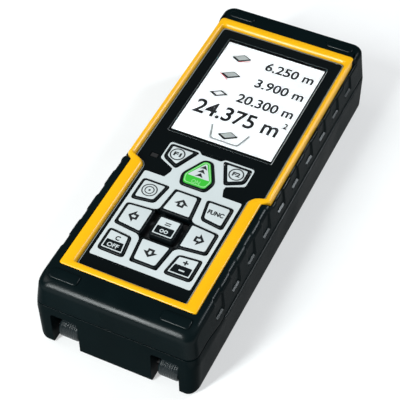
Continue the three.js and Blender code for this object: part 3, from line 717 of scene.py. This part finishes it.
def rear_cutters():
    """All that is cut out of the lower shell, from the bracket's notches to its pin hole."""
    cutters = []
    for sign in (-1, 1):
        x0, x1 = sorted(sign * x for x in NOTCH_X)
        notch = [[x0, UNDER], [x1, UNDER], [x1, NOTCH_TOP, 1.4], [x0, NOTCH_TOP, 1.4]]
        cutters.append(end_cutter(notch, -80, NOTCH_END_Y))
    recess = rectangle(-PLATE_RECESS_HALF_X, PLATE_RECESS_HALF_X, *PLATE_RECESS_Y, 2.5)
    cutters.append(upright_cutter(recess, UNDER, PLATE_RECESS_TOP))
    opening = rectangle(DOOR_LOW[0] - 0.3, DOOR_HIGH[0] + 0.3, DOOR_LOW[1] - 0.6, DOOR_HIGH[1] + 0.3, 1.5)
    cutters.append(upright_cutter(opening, UNDER, DOOR_RECESS_TOP))
    for index in range(1, 5):
        low, high = cad(f"case_screw_{index}")
        x, y = ((low + high) / 2)[:2]
        cutters.append(upright_cutter(circle(x, y, SCREW_HOLE_R, 32), UNDER, SCREW_HOLE_TOP))
    cutters.append(upright_cutter(circle(0, SOCKET_Y, SOCKET_R), UNDER, SOCKET_TOP))
    cutters.append(lens_opening())
    cutters.append(pin_hole())
    return cutters


def pin_hole():
    """A round prism along X at the bracket's pivot: the pivot plus a radius at evenly spaced angles."""
    ring = circle(PIVOT_Y, PIVOT_Z, PIN_HOLE_R, 24)
    ends = [np.column_stack([np.full(len(ring), x), ring]) for x in (-PIN_HOLE_HALF_X, PIN_HOLE_HALF_X)]
    return stack("cutter", ends, OVERMOULD, None)


PAD_X = (14.4, 24.6)
PAD_ROWS = {"near": (-68.0, -63.8), "far": (67.4, 70.2)}


def corner_pads():
    """Four low pads on the top face, two at each end, their top edges rounded as slab() says."""
    for row, (y0, y1) in PAD_ROWS.items():
        for name, sign in (("left", -1), ("right", 1)):
            x0, x1 = sorted(sign * x for x in PAD_X)
            pad = slab(f"pad_{row}_{name}", rectangle(x0, x1, y0, y1, 1.2), TOP - 0.3, PAD_TOP,
                       OVERMOULD, "case", edge=0.45)


# ---------------------------------------------------------------- bezel

PANEL_GAP = 0.15
FAR_BEZEL_R = 1.5
INNER_NEAR_R = 0.8


def bezel_lines():
    """Outer and inner outline of the bezel, matched point by point.

    The outer half width goes straight from the lower to the upper one across the step. The inner one
    follows the panel's edge, with a small rounding at both ends of the step.
    """
    outer_y = np.interp(SIDE_Y, [SIDE_Y[0], -55, 60, SIDE_Y[-1]],
                        [BEZEL_LOW[1] + BEZEL_R, -55, 60, BEZEL_HIGH[1] - FAR_BEZEL_R])
    outer_x = np.interp(outer_y, STEP_Y, [BEZEL_LOWER_HALF, BEZEL_HIGH[0]])
    outer = perimeter(outer_x, outer_y, BEZEL_LOW[1], BEZEL_HIGH[1], BEZEL_R, FAR_BEZEL_R)
    inner_low = PANEL_LOW[1] - PANEL_GAP
    inner_high = PANEL_HIGH[1] + PANEL_GAP
    inner_y = np.interp(SIDE_Y, [SIDE_Y[0], -55, 58, SIDE_Y[-1]],
                        [inner_low + INNER_NEAR_R, -55, 58, inner_high - FAR_BEZEL_R])
    bend = np.interp(inner_y, [-12.6, -12.0, -11.2, -10.6, -9.6, -8.9],
                     [PANEL_LOWER_HALF, PANEL_LOWER_HALF + 0.25, 20.4, 21.3, 23.9,
                      PANEL_HIGH[0] + PANEL_GAP])
    inner = perimeter(bend, inner_y, inner_low, inner_high, INNER_NEAR_R, FAR_BEZEL_R)
    return outer, inner


BEZEL_EDGE, BEZEL_CROWN = 0.6, 0.12
BEZEL_SLOPE_WIDE, BEZEL_SLOPE_DEEP = 0.8, 0.75


def bezel():
    """Yellow frame: a closed loop of rings, up its outside, over a crowned top and down a sloped inside.

    Across the top the height drops by the crown times the squared distance from the middle. The
    inner edge falls away in a straight slope before it turns down.
    """
    outer, inner = bezel_lines()
    across = inner - outer
    width = np.linalg.norm(across, axis=1)
    unit = across / width[:, None]
    low, high = BEZEL_LOW[2], BEZEL_HIGH[2]
    shoulder = high - BEZEL_CROWN
    rings = [at(outer, low)]
    for a in np.linspace(0, math.pi / 2, 7):
        turn = outer + unit * BEZEL_EDGE * (1 - math.cos(a))
        rings.append(at(turn, shoulder - BEZEL_EDGE * (1 - math.sin(a))))
    for t in np.linspace(0, 1, 9)[1:]:
        span = BEZEL_EDGE + (width - BEZEL_EDGE - BEZEL_SLOPE_WIDE - 0.2) * t
        rings.append(at(outer + unit * span[:, None], high - BEZEL_CROWN * (2 * t - 1) ** 2))
    for t in (0.08, 0.5, 0.92, 1.0):
        drop = BEZEL_SLOPE_DEEP * t + (0.1 if t == 1.0 else 0.0)
        rings.append(at(inner - unit * (BEZEL_SLOPE_WIDE * (1 - t) + 0.02), shoulder - drop))
    rings.append(at(inner, low))
    piece = stack("bezel", rings, BEZEL_YELLOW, "case", looped=True, sharp=50)
    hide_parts("bezel_frame")


# ---------------------------------------------------------------- keypad

SOFT_FACE = [[-14, -0.35, 0.5], [-14, -5, 0.8], [-9.55, -7.35, 0.6], [-6.4, -0.35, 0.5]]
UPPER_FACE = [[-15.7, -18.2, 0.8], [-15.7, -25.8, 0.8], [-9.35, -24.9, 0.8], [-8.15, -18.2, 0.6]]
ARROW_FACE = [[-15.7, -30, 0.8], [-15.7, -37.7, 0.8], [-7.35, -38.65, 0.5], [-7.35, -29.3, 0.5]]
LOWER_FACE = [[-15.7, -42.2, 0.6], [-15.7, -49.4, 1], [-8.3, -49.5, 1], [-9.3, -42.8, 0.8]]
ON_FACE = mirrored([[4, -13.7, 1], [5.05, -10, 1], [1, -2.3, 1]])
UP_FACE = mirrored([[4.7, -26.8, 0.5], [3.75, -18.3, 0.8]])
MIDDLE_FACE = mirrored([[3.5, -37.4, 0.5], [3.5, -30.4, 0.5]])
DOWN_FACE = mirrored([[3.75, -49.5, 0.8], [4.75, -41.1, 0.5]])


def flipped(face):
    """The face of the matching key in the right column: each x with its sign changed."""
    return [[-p[0], p[1], p[2]] for p in face]


KEY_FACES = {
    "key_soft_left": SOFT_FACE, "key_soft_right": flipped(SOFT_FACE), "key_on": ON_FACE,
    "key_target": UPPER_FACE, "key_function": flipped(UPPER_FACE), "key_up": UP_FACE,
    "key_left": ARROW_FACE, "key_right": flipped(ARROW_FACE), "key_middle": MIDDLE_FACE,
    "key_clear": LOWER_FACE, "key_plus_minus": flipped(LOWER_FACE), "key_down": DOWN_FACE,
}
PRINT_Z = KEY_TOP - 0.1
INK_Z = PRINT_Z + 0.05
INK_THICK = 0.02
CAP_BOTTOM, CAP_BORDER, CAP_EDGE = 25.7, 0.9, 0.4
SPLIT_KEYS = ("key_middle", "key_clear", "key_plus_minus")
ARROW_PAD_KEYS = ("key_up", "key_down", "key_left", "key_right", "key_middle")


def key_caps():
    """A black cap with rounded edges for each key, and a silver face print on it."""
    for name, face in KEY_FACES.items():
        cap = slab(name + "_cap", face, CAP_BOTTOM, PRINT_Z, KEY_BLACK, name, edge=CAP_EDGE,
                   grow=CAP_BORDER, steps=6)
        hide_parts(name)
        if name in SPLIT_KEYS:
            split_face(name, face)
        elif name != "key_on":
            printed = slab(name + "_face", face, PRINT_Z - 0.05, INK_Z, SILVER_PRINT, name, edge=0.04)


def clip_face(face, y_low, y_high, inset):
    """The part of a four-cornered face between two heights, inset from its edge.

    Each side of the face is a straight interpolation between its two corners.
    """
    ring = np.array([[p[0], p[1]] for p in face])
    top = ring[ring[:, 1] > ring[:, 1].mean()]
    low = ring[ring[:, 1] <= ring[:, 1].mean()]
    (tx0, ty0), (tx1, ty1) = top[np.argsort(top[:, 0])]
    (bx0, by0), (bx1, by1) = low[np.argsort(low[:, 0])]

    def left(y):
        """x of the left side at y, plus the inset."""
        return np.interp(y, [by0, ty0], [bx0, tx0]) + inset

    def right(y):
        """x of the right side at y, less the inset."""
        return np.interp(y, [by1, ty1], [bx1, tx1]) - inset

    def under(x, y):
        """y, or the top side at x less the inset if that is lower."""
        return min(y, np.interp(x, [tx0, tx1], [ty0, ty1]) - inset)

    def over(x, y):
        """y, or the bottom side at x plus the inset if that is higher."""
        return max(y, np.interp(x, [bx0, bx1], [by0, by1]) + inset)

    x0, x1 = left(y_high), right(y_high)
    u0, u1 = left(y_low), right(y_low)
    return [[u0, over(u0, y_low), 0.3], [u1, over(u1, y_low), 0.3],
            [x1, under(x1, y_high), 0.3], [x0, under(x0, y_high), 0.3]]


def split_face(name, face):
    """A face with a silver upper half and a black lower half inside a thin silver outline."""
    ys = [p[1] for p in face]
    middle = (min(ys) + max(ys)) / 2 + 0.1
    rim = contour(clip_face(face, min(ys), max(ys), 0.0))
    hole = contour(clip_face(face, min(ys), middle, 0.38))
    printed = flat_print(name + "_face", [rim, hole], INK_Z - 0.05, SILVER_PRINT, name, thick=0.05)


def on_key():
    """The tall key: a green face, a lighter border, a white field with arrowheads, and its legend."""
    name = "key_on"
    face = slab("key_on_face", ON_FACE, PRINT_Z - 0.05, INK_Z, KEY_GREEN, name, edge=0.04)
    rim_out = contour(mirrored([[3.9, -13.2, 1], [4.75, -10.0, 1], [0.95, -2.7, 1]]))
    rim_in = contour(mirrored([[3.6, -12.9, 1], [4.4, -10.0, 1], [0.8, -3.05, 1]]))
    flat_print("key_on_border", [rim_out, rim_in], INK_Z, KEY_LIME, name, thick=INK_THICK)
    field = contour(mirrored([[4.0, -9.85, 0.4], [0.35, -3.35, 0.3]]))
    flat_print("key_on_field", [field], INK_Z, SILVER_PRINT, name, thick=INK_THICK)
    head = np.array([[-1.4, -0.8], [-0.35, -0.5], [0.35, -0.5], [1.4, -0.8], [0, 1.0]])
    for index, y in enumerate((-5.0, -6.85, -8.7)):
        flat_print(f"key_on_head_{index + 1}", [shift(head, 0, y)], INK_Z + INK_THICK, INK_BLACK, name,
                   thick=INK_THICK)
    legend("key_on_legend", "ON", (-1.5, 1.5, -12.7, -11.1), INK_Z, KEY_LIME, name, thick=INK_THICK)


def arrow():
    """Outer and inner outline of a hollow arrow pointing up."""
    outer = np.array([[0, 1.9], [2.5, -0.35], [1.15, -0.35], [1.15, -1.6], [-1.15, -1.6], [-1.15, -0.35],
                      [-2.5, -0.35]])
    inner = np.array([[0, 1.0], [0.95, 0.12], [0.55, 0.12], [0.55, -1.0], [-0.55, -1.0], [-0.55, 0.12],
                      [-0.95, 0.12]])
    return outer, inner * 0.8


def key_legends():
    """Icons and generic legends on the keys."""
    for name, x, y, degrees in (("key_up", 0, -22.6, 0), ("key_down", 0, -45.4, 180),
                                ("key_left", -11.9, -34, 90), ("key_right", 11.9, -34, -90)):
        lines = [shift(turned(line, degrees), x, y) for line in arrow()]
        flat_print(name + "_arrow", lines, INK_Z, INK_BLACK, name, thick=INK_THICK)
    for name, radii in (("ring", (2.75, 2.35)), ("inner", (1.7, 1.35)), ("dot", (0.4,))):
        lines = [circle(-12.3, -21.7, radius) for radius in radii]
        flat_print("key_target_" + name, lines, INK_Z, INK_BLACK, "key_target", thick=INK_THICK)
    legend("key_function_legend", "FUNC", (9.3, 15.0, -22.7, -20.8), INK_Z, INK_BLACK, "key_function",
           weight=0.045, thick=INK_THICK)
    for name, x, words in (("key_soft_left", -11, "F1"), ("key_soft_right", 11, "F2")):
        lines = [circle(x, -3.25, 2.7), circle(x, -3.25, 2.25)]
        flat_print(name + "_ring", lines, INK_Z, INK_BLACK, name, thick=INK_THICK)
        legend(name + "_legend", words, (x - 1.4, x + 1.4, -4.15, -2.3), INK_Z, INK_BLACK, name,
               weight=0.045, thick=INK_THICK)
    legend("key_clear_upper", "C", (-12.9, -11.3, -45.4, -43.5), INK_Z, INK_BLACK, "key_clear",
           weight=0.04, thick=INK_THICK)
    legend("key_clear_lower", "OFF", (-14.3, -10.2, -48.5, -46.8), PRINT_Z, SILVER_PRINT, "key_clear",
           weight=0.02)
    legend("key_plus", "+", (11.3, 13.2, -45.3, -43.4), INK_Z, INK_BLACK, "key_plus_minus",
           weight=0.04, thick=INK_THICK)
    flat_print("key_minus", [contour(rectangle(11.3, 13.3, -47.85, -47.35))], PRINT_Z, SILVER_PRINT,
               "key_plus_minus")
    flat_print("key_middle_upper", [contour(rectangle(-1.0, 1.0, -32.3, -31.9)),
                                    contour(rectangle(-1.0, 1.0, -33.1, -32.7))],
               INK_Z, INK_BLACK, "key_middle", thick=INK_THICK)
    for name, x in (("key_middle_lower", -0.75), ("key_middle_lower_2", 0.75)):
        flat_print(name, [circle(x, -35.6, 0.72), circle(x, -35.6, 0.4)], PRINT_Z, SILVER_PRINT,
                   "key_middle")


def silver_surround():
    """The silver print round the keys, with a hole for each key and one for the arrow pad."""
    outline = contour(mirrored([
        [18, -53.2, 0.8], [18, -13.9, 0.8], [10.8, -13.9, 0.3], [9.75, -10.9, 0.3], [9.9, -9.4, 0.3],
        [15.85, -6.6, 0.8], [15.85, 1.6, 1.2], [4.9, 1.6, 0.5], [3.6, 0.35, 0.3],
    ]))
    pad = contour(mirrored([
        [4.95, -50.75, 0.8], [6.1, -41.2, 1], [7.4, -39.85, 1], [16.9, -38.75, 1.2], [16.9, -28.95, 1.2],
        [7.4, -28.1, 1], [6.0, -27.2, 1], [4.95, -17.1, 0.8],
    ]))
    holes = [pad]
    for name, face in KEY_FACES.items():
        if name not in ARROW_PAD_KEYS:
            holes.append(contour(face, 1.35 if "soft" in name else 1.2))
    joint = mirrored([[18.35, -53.55, 0.7], [18.35, -13.55, 0.7], [16.45, -13.55], [16.45, 2.15, 1.2]])
    joint_lines = [contour(joint, 0.3), contour(joint, -0.3)]
    flat_print("surround_joint", joint_lines, PANEL_Z, PANEL_BLACK, "case", thick=INK_THICK)
    printed = flat_print("silver_surround", [outline, *holes], PANEL_Z, SILVER_PRINT, "case", thick=0.06)


# ---------------------------------------------------------------- display

def tile(x, y):
    """A small slanted tile centred near (x, y), the sign for a floor."""
    return shift(np.array([[-3.4, -0.7], [0.4, 1.6], [3.4, 0.3], [-0.5, -2.1]]), x, y)


TILE_SIDE = np.array([[-3.4, -0.7], [-0.5, -2.1], [3.4, 0.3], [3.4, -0.15], [-0.5, -2.6], [-3.4, -1.15]])
SHEET_Z = PANEL_Z - 0.2
SCREEN_HALF_X = 18.9
SCREEN_Y = (7.6, 56.2)


def display_page():
    """Three lengths, an area and their signs, as thin prints on the white screen."""
    z = SHEET_Z + 0.01
    white = rectangle(-SCREEN_HALF_X, SCREEN_HALF_X, *SCREEN_Y)
    # The white sheet's emission is a painted glow.
    sheet = slab("display_sheet", white, SHEET_Z - 0.1, SHEET_Z, SCREEN_GLOW_WHITE, "case")
    rows = (("6.250 m", -1.4, 17.2, 47.6, 52.1), ("3.900 m", -1.4, 17.2, 38.2, 42.7),
            ("20.300 m", -4.3, 17.2, 28.8, 33.3))
    for index, (words, x0, x1, y0, y1) in enumerate(rows):
        legend(f"display_row_{index + 1}", words, (x0, x1, y0, y1), z, SCREEN_INK, "case", weight=0.022)
    legend("display_row_4", "24.375 m", (-16.2, 15.6, 18.3, 25.3), z, SCREEN_INK, "case", weight=0.018)
    legend("display_square", "2", (16.2, 17.6, 23.6, 26.3), z, SCREEN_INK, "case", weight=0.03)
    for index, (x, y) in enumerate(((-11.2, 50.3), (-11.2, 40.8), (0.5, 12.9))):
        flat_print(f"display_tile_{index + 1}", [tile(x, y)], z, SCREEN_GREY, "case")
        rim = [tile(x, y), shift(tile(0, 0) * 0.83, x, y)]
        flat_print(f"display_tile_rim_{index + 1}", rim, z + 0.02, SCREEN_INK, "case")
        flat_print(f"display_tile_side_{index + 1}", [shift(TILE_SIDE, x, y)], z, SCREEN_INK, "case")
    open_tile = [tile(-11.2, 30.3), shift(tile(0, 0) * 0.6, -11.2, 30.3)]
    flat_print("display_tile_4", open_tile, z, SCREEN_INK, "case")
    bar = contour(rectangle(-2.3, 2.3, -0.17, 0.17, 0.1))
    flat_print("display_bar_1", [shift(turned(bar, 24), -9.6, 48.6)], z, SCREEN_RED, "case")
    flat_print("display_bar_2", [shift(turned(bar, -32), -13.3, 38.8)], z, SCREEN_RED, "case")
    tab = contour([[-7.0, 15.3, 0.1], [-6.3, 15.3, 0.1], [-4.4, 9.6, 0.8], [5.2, 9.6, 0.8],
                   [7.1, 15.3, 0.1], [7.8, 15.3, 0.1], [5.8, 8.9, 1.2], [-5.0, 8.9, 1.2]])
    flat_print("display_tab", [tab], z, SCREEN_PALE, "case")


def window_lines():
    """A black mask round the screen, fine grey lines at the edges of the window, and a painted highlight
    on the panel's rim.
    """
    low, high = cad("display_window")
    mask = contour(rectangle(low[0] + 0.02, high[0] - 0.02, low[1] + 0.02, high[1] - 0.02, 0.6))
    hole = contour(rectangle(-SCREEN_HALF_X, SCREEN_HALF_X, *SCREEN_Y))
    flat_print("window_mask", [mask, hole], SHEET_Z - 0.05, PANEL_BLACK, "case", thick=0.05)
    lower = PANEL_LOWER_HALF - 0.15
    edge = mirrored([[lower, PANEL_LOW[1], 0.8], [lower, STEP_Y[0], 1], [20.4, -10.9, 0.8],
                     [PANEL_HIGH[0], -9.4, 0.8], [PANEL_HIGH[0], PANEL_HIGH[1], 1.5]])
    # The grey ring just inside the panel's edge is a painted highlight where the rim catches light.
    flat_print("panel_rim_highlight", [contour(edge, -0.12), contour(edge, -0.42)], PANEL_Z, PANEL_RIM_HIGHLIGHT, "case")
    outer = contour(rectangle(low[0] - 0.1, high[0] + 0.1, low[1] - 0.1, high[1] + 0.1, 0.7))
    inner = contour(rectangle(low[0] + 0.08, high[0] - 0.08, low[1] + 0.08, high[1] - 0.08, 0.6))
    flat_print("window_line", [outer, inner], PANEL_Z, OUTLINE_GREY, "case", thick=INK_THICK)


# ---------------------------------------------------------------- bracket, back and far end

KNUCKLE_ROUND = 1.1
RIB_PITCH, RIB_DEPTH = 0.85, 0.22
RIBS_MIDDLE = math.radians(130)
PLATE_NEAR_Y, PLATE_TOP = -58.0, 2.9
ARM_X = 14.3


def knuckle(name, x0, x1):
    """A knuckle of the bracket: rings of one circle along X, with fine ribs round its upper front.

    Along x the radius dips by RIB_DEPTH in a cosine of RIB_PITCH, faded to nothing away from the
    upper front quarter. The two ends are rounded by a quarter circle of radius KNUCKLE_ROUND.
    """
    radius = PIVOT_Z - BRACKET_LOW[2]
    xs = np.linspace(x0, x1, 110)
    a = np.linspace(0, 2 * math.pi, 80, endpoint=False)
    from_end = np.minimum(xs - x0, x1 - xs)
    ribs = (0.5 - 0.5 * np.cos(2 * math.pi * (xs - x0) / RIB_PITCH)) * (from_end > KNUCKLE_ROUND)
    into = np.maximum(KNUCKLE_ROUND - from_end, 0)
    end_dip = KNUCKLE_ROUND - np.sqrt(KNUCKLE_ROUND ** 2 - into ** 2)
    where = smooth((np.cos(a - RIBS_MIDDLE) - 0.35) / 0.3)
    r = radius - end_dip[:, None] - RIB_DEPTH * ribs[:, None] * where[None, :]
    along = np.broadcast_to(xs[:, None], r.shape)
    rings = np.stack([along, PIVOT_Y + r * np.cos(a), PIVOT_Z + r * np.sin(a)], axis=-1)
    return stack(name, rings, BRACKET_PLASTIC, "bracket", sharp=60)


def bracket():
    """The fold-out bracket: a U-shaped plate and two ribbed knuckles."""
    plate = slab("bracket_plate", mirrored([
        [ARM_X, PLATE_NEAR_Y, 0.6], [ARM_X, PIVOT_Y, 0.4], [BRACKET_HIGH[0], PIVOT_Y, 0.4],
        [BRACKET_HIGH[0], BRACKET_HIGH[1], 3.0],
    ]), BRACKET_LOW[2], PLATE_TOP, BRACKET_PLASTIC, "bracket", edge=0.4, both=True)
    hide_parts("positioning_bracket")
    for side, sign in (("left", -1), ("right", 1)):
        x0, x1 = sorted((sign * ARM_X, sign * BRACKET_HIGH[0]))
        knuckle(f"bracket_knuckle_{side}", x0, x1)


RIDGE_HALF_X, RIDGE_HALF_Y = 3.4, 0.18


def battery_door():
    """The door in the back, with rounded edges and a step cut under the latch."""
    panel = rectangle(DOOR_LOW[0], DOOR_HIGH[0], DOOR_LOW[1], DOOR_HIGH[1], 1.2)
    door = slab("battery_door_panel", panel, DOOR_LOW[2], DOOR_HIGH[2], REAR_PLASTIC, "door",
                edge=0.3, both=True)
    step = rectangle(LATCH_LOW[0] - 0.3, LATCH_HIGH[0] + 0.3, LATCH_LOW[1] - 1.8, DOOR_HIGH[1] + 1, 0.4)
    carve(door, [upright_cutter(step, -1, 1.3)])
    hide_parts("battery_door")


def door_latch():
    """The sliding latch of the door, with three finger ridges."""
    button = rectangle(LATCH_LOW[0], LATCH_HIGH[0], LATCH_LOW[1], LATCH_HIGH[1], 0.5)
    latch = slab("latch_button", button, LATCH_LOW[2], LATCH_HIGH[2], BRACKET_PLASTIC, "latch",
                 edge=0.15, both=True)
    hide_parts("door_latch")
    middle = (LATCH_LOW[1] + LATCH_HIGH[1]) / 2
    for index, dy in enumerate((-0.9, 0.0, 0.9)):
        y = middle + dy
        bar = rectangle(-RIDGE_HALF_X, RIDGE_HALF_X, y - RIDGE_HALF_Y, y + RIDGE_HALF_Y, 0.15)
        ridge = slab(f"latch_ridge_{index + 1}", bar, LATCH_LOW[2] - 0.2, LATCH_LOW[2] + 0.1,
                     BRACKET_PLASTIC, "latch", edge=0.1, both=True)


THREAD_PITCH, THREAD_DEPTH = 1.27, 0.45
BORE_R = 3.2


def tripod_socket():
    """Brass insert with a quarter inch thread, drawn as grooves round its bore.

    The bore's radius is BORE_R less THREAD_DEPTH times a triangle wave of THREAD_PITCH along z.
    """
    z0, z1 = INSERT_LOW[2], INSERT_HIGH[2]
    outer, floor = INSERT_HIGH[0], z1 - 1.0
    profile = [(z1, 1.5), (z1, outer - 0.2), (z1 - 0.2, outer), (z0 + 0.3, outer), (z0, outer - 0.3),
               (z0, BORE_R + 0.5), (z0 + 0.5, BORE_R)]
    for z in np.arange(z0 + 0.5, floor - 0.7, THREAD_PITCH / 8)[1:]:
        phase = ((z - z0) / THREAD_PITCH) % 1.0
        profile.append((z, BORE_R - THREAD_DEPTH * (1 - abs(2 * phase - 1))))
    profile += [(floor, BORE_R - 0.4), (floor, 1.5)]
    insert = lathe_z("tripod_insert_thread", profile, 0, SOCKET_Y, BRASS, "case")
    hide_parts("tripod_insert")


LENS_EDGE = 1.0
RING_PROFILE = ((-1.3, 0.0), (-0.1, 0.0), (0.15, 0.25), (0.15, 0.8), (-0.05, 1.0), (-0.3, 0.9),
                (-1.3, 0.12))
RIM_PROFILE = ((-1.2, 0.0), (-0.1, 0.0), (0.12, 0.2), (0.12, 0.7), (-0.1, 0.85), (-0.25, 0.2),
               (-1.2, 0.15))


def black_ring(name, profile, inner, x, z, count):
    """A black ring round an opening: its profile is (y from the panel's face, radius past inner)."""
    stations = [(LENS_PANEL_HIGH[1] + dy, inner + dr) for dy, dr in profile]
    ring = lathe_y(name, stations, x, z, CHIP_BLACK, "case", count=count, looped=True)


def receiver():
    """The receiver lens and the ring round it.

    Past its edge the lens bulges by its crown times (1 less the square of r over the full radius).
    """
    middle = (LENS_LOW + LENS_HIGH) / 2
    radius = (LENS_HIGH[0] - LENS_LOW[0]) / 2
    back, edge_y = LENS_LOW[1], LENS_LOW[1] + LENS_EDGE
    crown = LENS_HIGH[1] - edge_y
    profile = [(back, 0.05), (back, radius - 0.1), (back + 0.1, radius), (edge_y, radius)]
    for r in np.linspace(radius, 0.05, 20)[1:]:
        profile.append((edge_y + crown * (1 - (r / radius) ** 2), r))
    lens = lathe_y("receiver_lens_glass", profile, middle[0], middle[2], LENS_GLASS, "case", count=96)
    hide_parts("receiver_lens")
    black_ring("receiver_ring", RING_PROFILE, radius - 0.95, middle[0], middle[2], 96)


def small_windows():
    """The clear discs over the laser and the camera, each with a bevelled edge and a black rim."""
    for name in ("laser_window", "camera_window"):
        low, high = cad(name)
        x, _, z = (low + high) / 2
        r = (high[0] - low[0]) / 2
        bevelled = [(low[1], r), (high[1] - 0.15, r), (high[1], r - 0.15)]
        disc = lathe_y(name + "_disc", bevelled, x, z, CLEAR, "case")
        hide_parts(name)
        black_ring(name + "_rim", RIM_PROFILE, r + 0.05, x, z, 64)


# ---------------------------------------------------------------- stage

AZIMUTH, ELEVATION, ROLL = math.radians(25.764), math.radians(48.673), math.radians(-0.499)
DISTANCE = 465.153 * MM
FOCAL = 120.336
SHIFT_X, SHIFT_Y = -0.02784, -0.03375
AIM = Vector((0, 0, 14 * MM))


def camera():
    """Looks down at the face from the near right, far enough off to keep the perspective gentle."""
    back = Vector((math.sin(AZIMUTH) * math.cos(ELEVATION), -math.cos(AZIMUTH) * math.cos(ELEVATION),
                   math.sin(ELEVATION)))
    right = (-back).cross(Vector((0, 0, 1))).normalized()
    up = right.cross(-back)
    right_turned = math.cos(ROLL) * right + math.sin(ROLL) * up
    up_turned = math.cos(ROLL) * up - math.sin(ROLL) * right
    data = bpy.data.cameras.new("camera")
    data.lens = FOCAL
    data.sensor_width = 36
    data.shift_x = SHIFT_X
    data.shift_y = SHIFT_Y
    data.clip_start = 0.01
    holder = bpy.data.objects.new("camera", data)
    turn = Matrix((right_turned, up_turned, back)).transposed().to_4x4()
    holder.matrix_world = Matrix.Translation(AIM + back * DISTANCE) @ turn
    bpy.context.scene.collection.objects.link(holder)
    bpy.context.scene.camera = holder


def lamp(name, direction, distance, width, height, power, colour=(1, 1, 1)):
    """A rectangular soft light that looks at the middle of the meter from one direction."""
    data = bpy.data.lights.new(name, "AREA")
    data.shape = "RECTANGLE"
    data.size = width
    data.size_y = height
    data.energy = power
    data.color = colour
    holder = bpy.data.objects.new(name, data)
    away = Vector(direction).normalized()
    holder.location = AIM + away * distance
    holder.rotation_euler = away.to_track_quat("Z", "Y").to_euler()
    bpy.context.scene.collection.objects.link(holder)


FLOOR_HALF = 3.0


def stage():
    """A pale floor, an even white world and three soft lights."""
    mesh = bpy.data.meshes.new("floor")
    r = FLOOR_HALF
    mesh.from_pydata([(-r, -r, 0), (r, -r, 0), (r, r, 0), (-r, r, 0)], [], [(0, 1, 2, 3)])
    mesh.materials.append(surface("floor_paper", (0.50, 0.50, 0.50), 0.8, spread=0.01, glow=0.9))
    floor = bpy.data.objects.new("floor", mesh)
    floor.location.z = -0.0002
    bpy.context.scene.collection.objects.link(floor)
    world = bpy.data.worlds.new("studio")
    world.use_nodes = True
    world.node_tree.nodes["Background"].inputs["Color"].default_value = (1, 1, 1, 1)
    world.node_tree.nodes["Background"].inputs["Strength"].default_value = 0.16
    bpy.context.scene.world = world
    lamp("front_softbox", (-0.29, -0.75, 0.60), 0.9, 0.13, 0.52, 10.5, (0.94, 1.0, 1.0))
    lamp("left_softbox", (-1.0, -0.1, 0.9), 0.9, 0.4, 0.4, 1.8)
    lamp("back_softbox", (0.51, 0.59, 0.62), 0.9, 0.13, 0.13, 4.5, (0.88, 0.95, 1.0))
    bpy.context.scene.view_settings.view_transform = "Standard"


# ---------------------------------------------------------------- build

dress_frame()
front_case()
rear_case()
corner_pads()
bezel()
key_caps()
on_key()
key_legends()
silver_surround()
display_page()
window_lines()
bracket()
battery_door()
door_latch()
tripod_socket()
receiver()
small_windows()
camera()
stage()
